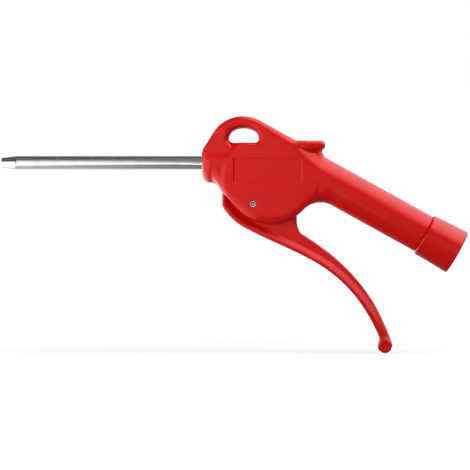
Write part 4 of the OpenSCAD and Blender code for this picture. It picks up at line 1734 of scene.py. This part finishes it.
@dataclass
class Inlet:
    """The collar at the handle's end and the threaded insert inside it.

    Attributes:
        r_inner_end: Outer radius of the collar where it meets the handle.
        r_face: Outer radius of the collar at the inlet face.
        edges: Radii of the collar's corners, from its inner step round its inner end to its face.
        edge_steps: Steps round each of those corners.
        collar_sides: Steps round the collar.
        flange_r: Radius of the insert's flange.
        minor_r: Core radius of the inlet's thread.
        thread_deep: Depth of the thread.
        pitch: Pitch of the thread, 19 to the inch.
        turns: Turns of full thread.
        rows: Rows of points in each turn of the thread.
        sides: Steps round the insert.
        fullness: Power of the thread's wave, where less than 1 widens the groove.
        lead_in: Size of the chamfer where the thread starts.
        chamfer: Size of the insert's outer chamfers.
        seal: Cord of the O-ring on the insert and its distance from the insert's inner end.
        groove_share: Half width of the O-ring's groove, as a share of the cord.
        sharp: Angle from which an edge of the insert stays sharp, in degrees.
    """

    r_inner_end: float = 12.8
    r_face: float = 13.7
    edges: tuple[float, ...] = (0.1, 0.1, 0.2, 1.3, 0.9, 0.25)
    edge_steps: int = 8
    collar_sides: int = 128
    flange_r: float = 11.5
    minor_r: float = 5.72
    thread_deep: float = 0.8
    pitch: float = 25.4 / 19
    turns: int = 9
    rows: int = 14
    sides: int = 120
    fullness: float = 0.8
    lead_in: float = 1.0
    chamfer: float = 0.3
    seal: Point = (1.2, 2.5)
    groove_share: float = 0.6
    sharp: float = 40.0

    def collar(self) -> Skin:
        """The collar: a slightly flared sleeve with a soft shoulder against the handle.

        Returns:
            The surface.
        """
        bore, seat = GUN.spigot_r + GUN.slip, self.flange_r + GUN.slip
        deep = GUN.flange_t + GUN.slip
        corners = [(0.0, seat), (0.0, self.r_face), (-GUN.collar_l, self.r_inner_end), (-GUN.collar_l, bore),
                   (-deep, bore), (-deep, seat)]
        return revolve(*rounded(corners[::-1], self.edges, self.edge_steps), Axis.HANDLE, self.collar_sides)

    def insert(self) -> Skin:
        """The brass insert: flange, O-ring groove and an internal thread.

        The bore's radius is the core radius plus the thread's depth times a rounded wave of the
        place along the axis, which moves on by one pitch in each turn. It fades out at both ends.

        Returns:
            The surface.
        """
        cord, up = self.seal
        inner, outer, bore = -GUN.insert_l, GUN.insert_r, self.minor_r
        groove, groove_r, half = inner + up, outer - cord - GUN.seat_fit, self.groove_share * cord
        outside = [(inner, bore), (inner, outer - self.chamfer), (inner + self.chamfer, outer),
                   (groove - half, outer), (groove - half, groove_r), (groove + half, groove_r),
                   (groove + half, outer), (-GUN.flange_t, outer), (-GUN.flange_t, self.flange_r),
                   (-self.chamfer, self.flange_r), (0.0, self.flange_r - self.chamfer),
                   (0.0, bore + self.lead_in), (-self.lead_in, bore)]
        reach = self.turns * self.pitch
        place = -self.lead_in - np.linspace(0.0, reach, self.turns * self.rows + 1)[1:]
        profile = np.vstack([outside, np.stack([place, np.full_like(place, bore)], axis=-1)])
        angle = np.linspace(0.0, 2 * math.pi, self.sides, endpoint=False)
        s = profile[:, :1]
        wave = 0.5 + 0.5 * np.cos(2 * math.pi * s / self.pitch - angle)
        fade = ease((-s - self.lead_in) / self.pitch) * ease((reach + self.lead_in + s) / self.pitch)
        threaded = np.arange(len(profile))[:, None] >= len(outside)
        radius = profile[:, 1:] + self.thread_deep * threaded * fade * wave ** self.fullness
        points = spun(s, radius, angle, Axis.HANDLE)
        return Skin(points.reshape(-1, 3), grid_faces(len(profile), self.sides)).outward()

    def build(self, finishes: Finishes) -> None:
        """Makes the collar and the insert.

        Args:
            finishes: The built finishes.
        """
        show(self.collar().to_object("inlet_sleeve"), "gun", Slot.RED_COLLAR, finishes, "inlet_collar")
        insert = self.insert().to_object("threaded_insert", self.sharp)
        show(insert, "gun", Slot.BRASS, finishes, "inlet_insert")


@dataclass
class PivotPin:
    """The slotted spring pin that the lever turns on.

    Attributes:
        r: Outer radius of the pin.
        wall: Thickness of its wall.
        pinch: Radius of its bore in the middle, where no light passes.
        slot: Width of its slot.
        sunk: Depth of its ends below the cheeks.
        chamfer: Size of the chamfer at its ends.
        edge: Radius of every corner of its section.
        edge_steps: Steps round each of those corners.
        steps: Steps round it.
        sharp: Angle from which an edge stays sharp, in degrees.
    """

    r: float = 2.0
    wall: float = 0.75
    pinch: float = 0.35
    slot: float = 0.5
    sunk: float = 0.5
    chamfer: float = 0.35
    edge: float = 0.06
    edge_steps: int = 2
    steps: int = 48
    sharp: float = 35.0

    def pin(self) -> Skin:
        """The pin: the wall's section carried round from one side of the slot to the other.

        The section is closed, and each end of the run is closed by strips across the section.

        Returns:
            The surface.
        """
        end = GUN.half_t - self.sunk
        inner = self.r - self.wall
        outside = [(end, inner), (end, self.r - self.chamfer), (end - self.chamfer, self.r)]
        inside = [(end - 2 * self.r, inner), (self.r, self.pinch)]
        corners = outside + [(-y, r) for y, r in outside[::-1] + inside] + inside[::-1]
        section, _ = rounded(corners, [self.edge] * len(corners), self.edge_steps)
        gap = math.asin(self.slot / 2 / (self.r - self.wall / 2))
        angle = math.pi / 2 + np.linspace(gap, 2 * math.pi - gap, self.steps + 1)
        return capped(spun(section[:, :1], section[:, 1:], angle, Axis.PIVOT))

    def build(self, finishes: Finishes) -> None:
        """Makes the pin."""
        piece = self.pin().to_object("slotted_pin", self.sharp)
        show(piece, "gun", Slot.SPRING_STEEL, finishes, "lever_pin")


@dataclass
class ValveSpring:
    """The coil spring above the poppet, which shortens as the valve opens.

    Attributes:
        node: CAD node that it stands for, whose box it fills.
        wire_r: Radius of its wire.
        turns: Turns of wire.
        sides: Sides of the wire.
        steps: Rings of the wire in each turn.
        sharp: Angle from which an edge stays sharp, in degrees.
    """

    node: str = "valve_spring"
    wire_r: float = 0.35
    turns: float = 4.0
    sides: int = 12
    steps: int = 40
    sharp: float = 60.0

    def coil(self) -> Skin:
        """A round wire carried along a helix, with flat ends.

        The middle line turns evenly about the valve's axis and rises evenly. Round each of its
        points the wire's ring reaches outwards by the cosine of its angle, and up by the sine.

        Returns:
            The surface.
        """
        low, high = (np.array(corner) / MM + mid(GUN.inlet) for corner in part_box(self.node))
        middle = (low + high) / 2
        share = np.linspace(0.0, 1.0, round(self.turns * self.steps) + 1)[None, :]
        turn = 2 * math.pi * self.turns * share
        side = np.linspace(0.0, 2 * math.pi, self.sides, endpoint=False)[:, None]
        reach = (high[0] - low[0]) / 2 - self.wire_r + self.wire_r * np.cos(side)
        rise = (high[2] - low[2] - 2 * self.wire_r) * share
        height = low[2] + self.wire_r + rise + self.wire_r * np.sin(side)
        points = [middle[0] + reach * np.cos(turn), middle[1] + reach * np.sin(turn), height]
        return capped(np.stack(points, axis=-1))

    def build(self, finishes: Finishes) -> None:
        """Makes the spring in the CAD node's box, dresses it and hides that node.

        Args:
            finishes: The built finishes.
        """
        piece = self.coil().to_object("poppet_spring", self.sharp)
        finishes.dress(piece, Slot.SPRING_STEEL)
        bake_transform(piece)
        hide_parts(self.node)
        log.info("%s: %d faces, for %s", piece.name, len(piece.data.polygons), self.node)


class HiddenParts:
    """The seals and the valve, which stay as CAD nodes and only get their finishes."""

    slots: dict[str, Slot] = {
        "nozzle_stop_ring": Slot.BRASS, "nozzle_o_ring": Slot.RUBBER, "valve_bush": Slot.BRASS,
        "bush_seal_upper": Slot.RUBBER, "bush_seal_lower": Slot.RUBBER, "bush_circlip": Slot.SPRING_STEEL,
        "poppet": Slot.BRASS, "valve_disc": Slot.RUBBER, "disc_washer": Slot.STAINLESS,
        "push_pin": Slot.STAINLESS, "push_pin_o_ring": Slot.RUBBER, "inlet_o_ring": Slot.RUBBER,
    }

    def build(self, finishes: Finishes) -> None:
        """Dresses each node."""
        for name, slot in self.slots.items():
            finishes.dress(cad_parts[name], slot)
            log.info("%s: CAD node in %s", name, slot.value)


class Way(Enum):
    """Places that a bright part is measured along: metres on the floor, and shares of a direction."""

    X = "x"
    Y = "y"
    Z = "z"
    LEFT = "towards the left"
    AWAY = "distance from the gun"
    SLANT = "past the strip's slanted near edge"
    RIGHT_EDGE = "towards the left, leaning as the strip's right edge"
    LEFT_EDGE = "towards the left, leaning as the strip's left edge"
    PATCH = "distance from the patch's middle"


@dataclass(frozen=True)
class Glow:
    """A bright part of the surroundings.

    Its brightness is its level times a smooth factor for each band, which goes from 0 at the band's
    start to 1 at its end. In a band whose end is less than its start, it falls.

    Attributes:
        level: Brightness where each factor is 1.
        bands: The place that a band is measured along, and the band's start and end.
    """

    level: float
    bands: tuple[tuple[Way, float, float], ...]

    def over(self, places: dict[Way, Value]) -> Value:
        """The brightness over the places."""
        factors = (places[way].between(start, end) for way, start, end in self.bands)
        return math.prod(factors, start=self.level)


@dataclass(frozen=True)
class Lamp:
    """A softbox.

    Attributes:
        name: Its name.
        place_m: Its place.
        size_m: Its width and height.
        radiance: How bright its face is.
    """

    name: str
    place_m: Triple
    size_m: Point
    radiance: float


@dataclass
class Studio:
    """Floor, world, lamps and camera.

    Attributes:
        eye_m: Place of the camera.
        half_view_m: Half the width that it sees at the gun's middle plane.
        clip_m: How far it sees.
        middle_m: Point that the lamps look at.
        softboxes: A big one at the upper right, a low one at the left and a fill near the camera.
        floor_half_m: Half the width of the floor.
        floor_gap_m: Distance of the floor below the gun.
        floor_tone: Colour of the floor.
        seen_base: What the floor adds everywhere to its own light, for the camera.
        seen: What it adds for the camera further away from the gun.
        soft: What it adds to soft light towards the left.
        floor_base: Brightness of the floor in a reflection.
        floor_left: What that gains towards the left.
        floor_behind: What it gains behind the gun.
        front_slant: Slope of the front strip's near edge and its place in the gun's middle plane.
        front_lean: How much the strip's right and left edges lean with the distance.
        front_strip: Bright strip on the floor in front of the gun.
        patch_m: Middle of a bright patch on the floor.
        patch: That patch, which fades with the distance from its middle.
        floor_open: Where the floor lets the world behind it through in a reflection.
        ambient: Strength of the light that comes from all round.
        dim: Brightness of the world in a reflection, where nothing else is.
        sky: What it gains towards the top.
        behind: Pale part behind the gun.
        above: Bright part above, in front and to the right.
        above_shade: How much darker that one is towards the back, as a share.
        beside: Bright part at the left.
        strip: Low bright strip in front of the gun.
    """

    eye_m: Triple = (-0.13326, -1.6, 0.01055)
    half_view_m: float = 0.141
    clip_m: float = 50.0
    middle_m: Triple = (-0.11, 0.0, 0.02)
    softboxes: tuple[Lamp, ...] = (
        Lamp("key_softbox", (0.35, -0.25, 0.85), (0.7, 0.7), 3.4),
        Lamp("low_left_softbox", (-0.88, -0.48, 0.0), (0.5, 0.5), 4.6),
        Lamp("front_fill", (-0.3, -1.4, 0.25), (0.9, 0.7), 3.3))
    floor_half_m: float = 6.0
    floor_gap_m: float = 0.0002
    floor_tone: float = 0.42
    seen_base: float = 0.72
    seen: Glow = Glow(0.5, ((Way.AWAY, 0.12, 0.5),))
    soft: Glow = Glow(1.0, ((Way.LEFT, 0.05, 0.4),))
    floor_base: float = 0.2
    floor_left: Glow = Glow(0.3, ((Way.LEFT, 0.15, 0.28),))
    floor_behind: Glow = Glow(0.25, ((Way.Y, 0.0, 0.15),))
    front_slant: Point = (1.5, -0.15)
    front_lean: Point = (0.017, 0.087)
    front_strip: Glow = Glow(1.25, ((Way.SLANT, 0.12, 0.34), (Way.RIGHT_EDGE, 0.14, 0.165),
                                    (Way.LEFT_EDGE, 0.31, 0.27)))
    patch_m: Point = (-0.115, -0.2)
    patch: Glow = Glow(3.0, ((Way.PATCH, 0.08, 0.02),))
    floor_open: Point = (0.145, 0.17)
    ambient: float = 0.2
    dim: float = 0.04
    sky: Glow = Glow(0.07, ((Way.Z, 0.3, 0.7),))
    behind: Glow = Glow(0.8, ((Way.Y, 0.3, 0.7), (Way.Z, 0.75, 0.35), (Way.Z, -0.04, 0.0)))
    above: Glow = Glow(6.8, ((Way.X, 0.01, 0.055), (Way.Z, 0.1, 0.4), (Way.Y, -0.9, -0.45)))
    above_shade: Glow = Glow(0.75, ((Way.Y, 0.0, 0.8),))
    beside: Glow = Glow(2.6, ((Way.X, -0.16, -0.42), (Way.Z, 0.45, 0.1)))
    strip: Glow = Glow(1.25, ((Way.X, 0.015, -0.075), (Way.X, -0.18, -0.11), (Way.Z, 0.95, 0.0),
                              (Way.Y, 0.0, -0.2), (Way.Z, -0.04, 0.0)))

    def camera(self) -> None:
        """Looks level along +Y, from far enough to keep the photograph's flat perspective."""
        lens = bpy.data.cameras.new("camera")
        lens.lens = lens.sensor_width / 2 * abs(self.eye_m[1]) / self.half_view_m
        lens.clip_end = self.clip_m
        camera = bpy.data.objects.new("camera", lens)
        camera.location = self.eye_m
        camera.rotation_euler = (math.pi / 2, 0.0, 0.0)
        bpy.context.scene.collection.objects.link(camera)
        bpy.context.scene.camera = camera

    def floor(self) -> None:
        """A pale floor under the lever's bead, which looks white from afar and keeps the gun's shadow."""
        h = self.floor_half_m
        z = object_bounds()[0][2] - self.floor_gap_m
        mesh = bpy.data.meshes.new("floor")
        mesh.from_pydata([(-h, -h, z), (h, -h, z), (h, h, z), (-h, h, z)], [], [(0, 1, 2, 3)])
        floor = bpy.data.objects.new("floor", mesh)
        bpy.context.scene.collection.objects.link(floor)
        mesh.materials.append(self.floor_material())
        floor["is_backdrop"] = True

    def floor_material(self) -> bpy.types.Material:
        """The floor's look: one for the camera and soft light, and one for reflections.

        Returns:
            The material.
        """
        material = bpy.data.materials.new("studio_floor")
        r = Recipe(material)
        x, y, _ = r.parts(r.place())
        seen, glossy = r.rays()
        left = 0.0 - x
        slope_x, cross = self.front_slant
        lean_right, lean_left = self.front_lean
        places = {
            Way.Y: y, Way.LEFT: left, Way.SLANT: 0.0 - y - slope_x * (x - cross),
            Way.RIGHT_EDGE: left + lean_right * y, Way.LEFT_EDGE: left + lean_left * y,
            Way.AWAY: ((x - self.middle_m[0]) ** 2 + y ** 2) ** 0.5,
            Way.PATCH: ((x - self.patch_m[0]) ** 2 + (y - self.patch_m[1]) ** 2) ** 0.5,
        }
        added = seen * (self.seen_base + self.seen.over(places)) + (1.0 - seen) * self.soft.over(places)
        shader = r.add("ShaderNodeBsdfDiffuse", {}, {"Color": ((self.floor_tone,) * 3) + (1.0,)})
        glow = r.add("ShaderNodeEmission", {}, {"Color": r.grey(added), "Strength": 1.0})
        lit = r.add("ShaderNodeAddShader", {}, {0: shader, 1: glow})
        near = self.floor_base + self.floor_left.over(places)
        near = near.greatest(self.front_strip.over(places)).greatest(self.patch.over(places))
        level = near + self.floor_behind.over(places)
        mirrored = r.add("ShaderNodeEmission", {}, {"Color": r.grey(level), "Strength": 1.0})
        open_air = r.add("ShaderNodeBsdfTransparent", {}, {"Color": WHITE})
        opened = r.add("ShaderNodeAddShader", {}, {0: mirrored, 1: open_air})
        share = left.between(*self.floor_open)
        mirrored = r.add("ShaderNodeMixShader", {}, {0: share, 1: mirrored, 2: opened})
        both = r.add("ShaderNodeMixShader", {}, {0: glossy, 1: lit, 2: mirrored})
        r.add("ShaderNodeOutputMaterial", {}, {"Surface": both})
        return material

    def world(self) -> None:
        """White for the camera, even for soft light and dim with bright parts for reflections.

        A reflection's level is the dim one, more towards the top, plus the brightest of the parts.
        """
        world = bpy.data.worlds.new("studio")
        bpy.context.scene.world = world
        world.cycles.sampling_method = "NONE"
        r = Recipe(world)
        direction = r.add("ShaderNodeTexCoord", output="Generated")
        places = dict(zip((Way.X, Way.Y, Way.Z), r.parts(direction)))
        white, glossy = r.rays()
        above = self.above.over(places) * (1.0 - self.above_shade.over(places))
        brightest = self.behind.over(places).greatest(above)
        brightest = brightest.greatest(self.beside.over(places)).greatest(self.strip.over(places))
        mirrored = self.dim + self.sky.over(places) + brightest
        level = white + (1.0 - white) * (glossy * mirrored + (1.0 - glossy) * self.ambient)
        shader = r.add("ShaderNodeBackground", {}, {"Color": r.grey(level), "Strength": 1.0})
        r.add("ShaderNodeOutputWorld", {}, {"Surface": shader})

    def lamp(self, lamp: Lamp) -> None:
        """Adds a softbox that faces the gun; reflections show the world's bright parts instead of it.

        Args:
            lamp: The softbox.
        """
        data = bpy.data.lights.new(lamp.name, "AREA")
        data.shape = "RECTANGLE"
        data.size, data.size_y = lamp.size_m
        data.energy = lamp.radiance * math.pi * lamp.size_m[0] * lamp.size_m[1]
        light = bpy.data.objects.new(lamp.name, data)
        light.location = lamp.place_m
        ahead, across, up = np.subtract(self.middle_m, lamp.place_m)
        light.rotation_euler = (math.atan2(math.hypot(ahead, across), -up), 0.0, math.atan2(-ahead, across))
        light.visible_glossy = False
        bpy.context.scene.collection.objects.link(light)

    def build(self) -> None:
        """Makes the whole studio."""
        self.camera()
        self.floor()
        self.world()
        for lamp in self.softboxes:
            self.lamp(lamp)
        bpy.context.scene.view_settings.view_transform = "Standard"
        log.info("studio: camera, floor, world and lamps")


def main() -> None:
    """Builds the studio and every sub-assembly in order."""
    logging.basicConfig(level=logging.INFO, format="%(name)s: %(message)s")
    Studio().build()
    finishes = Finishes()
    for part in (Moulding(), Lever(), Nozzle(), Inlet(), PivotPin(), ValveSpring(), HiddenParts()):
        part.build(finishes)


if __name__ == "__main__":
    main()
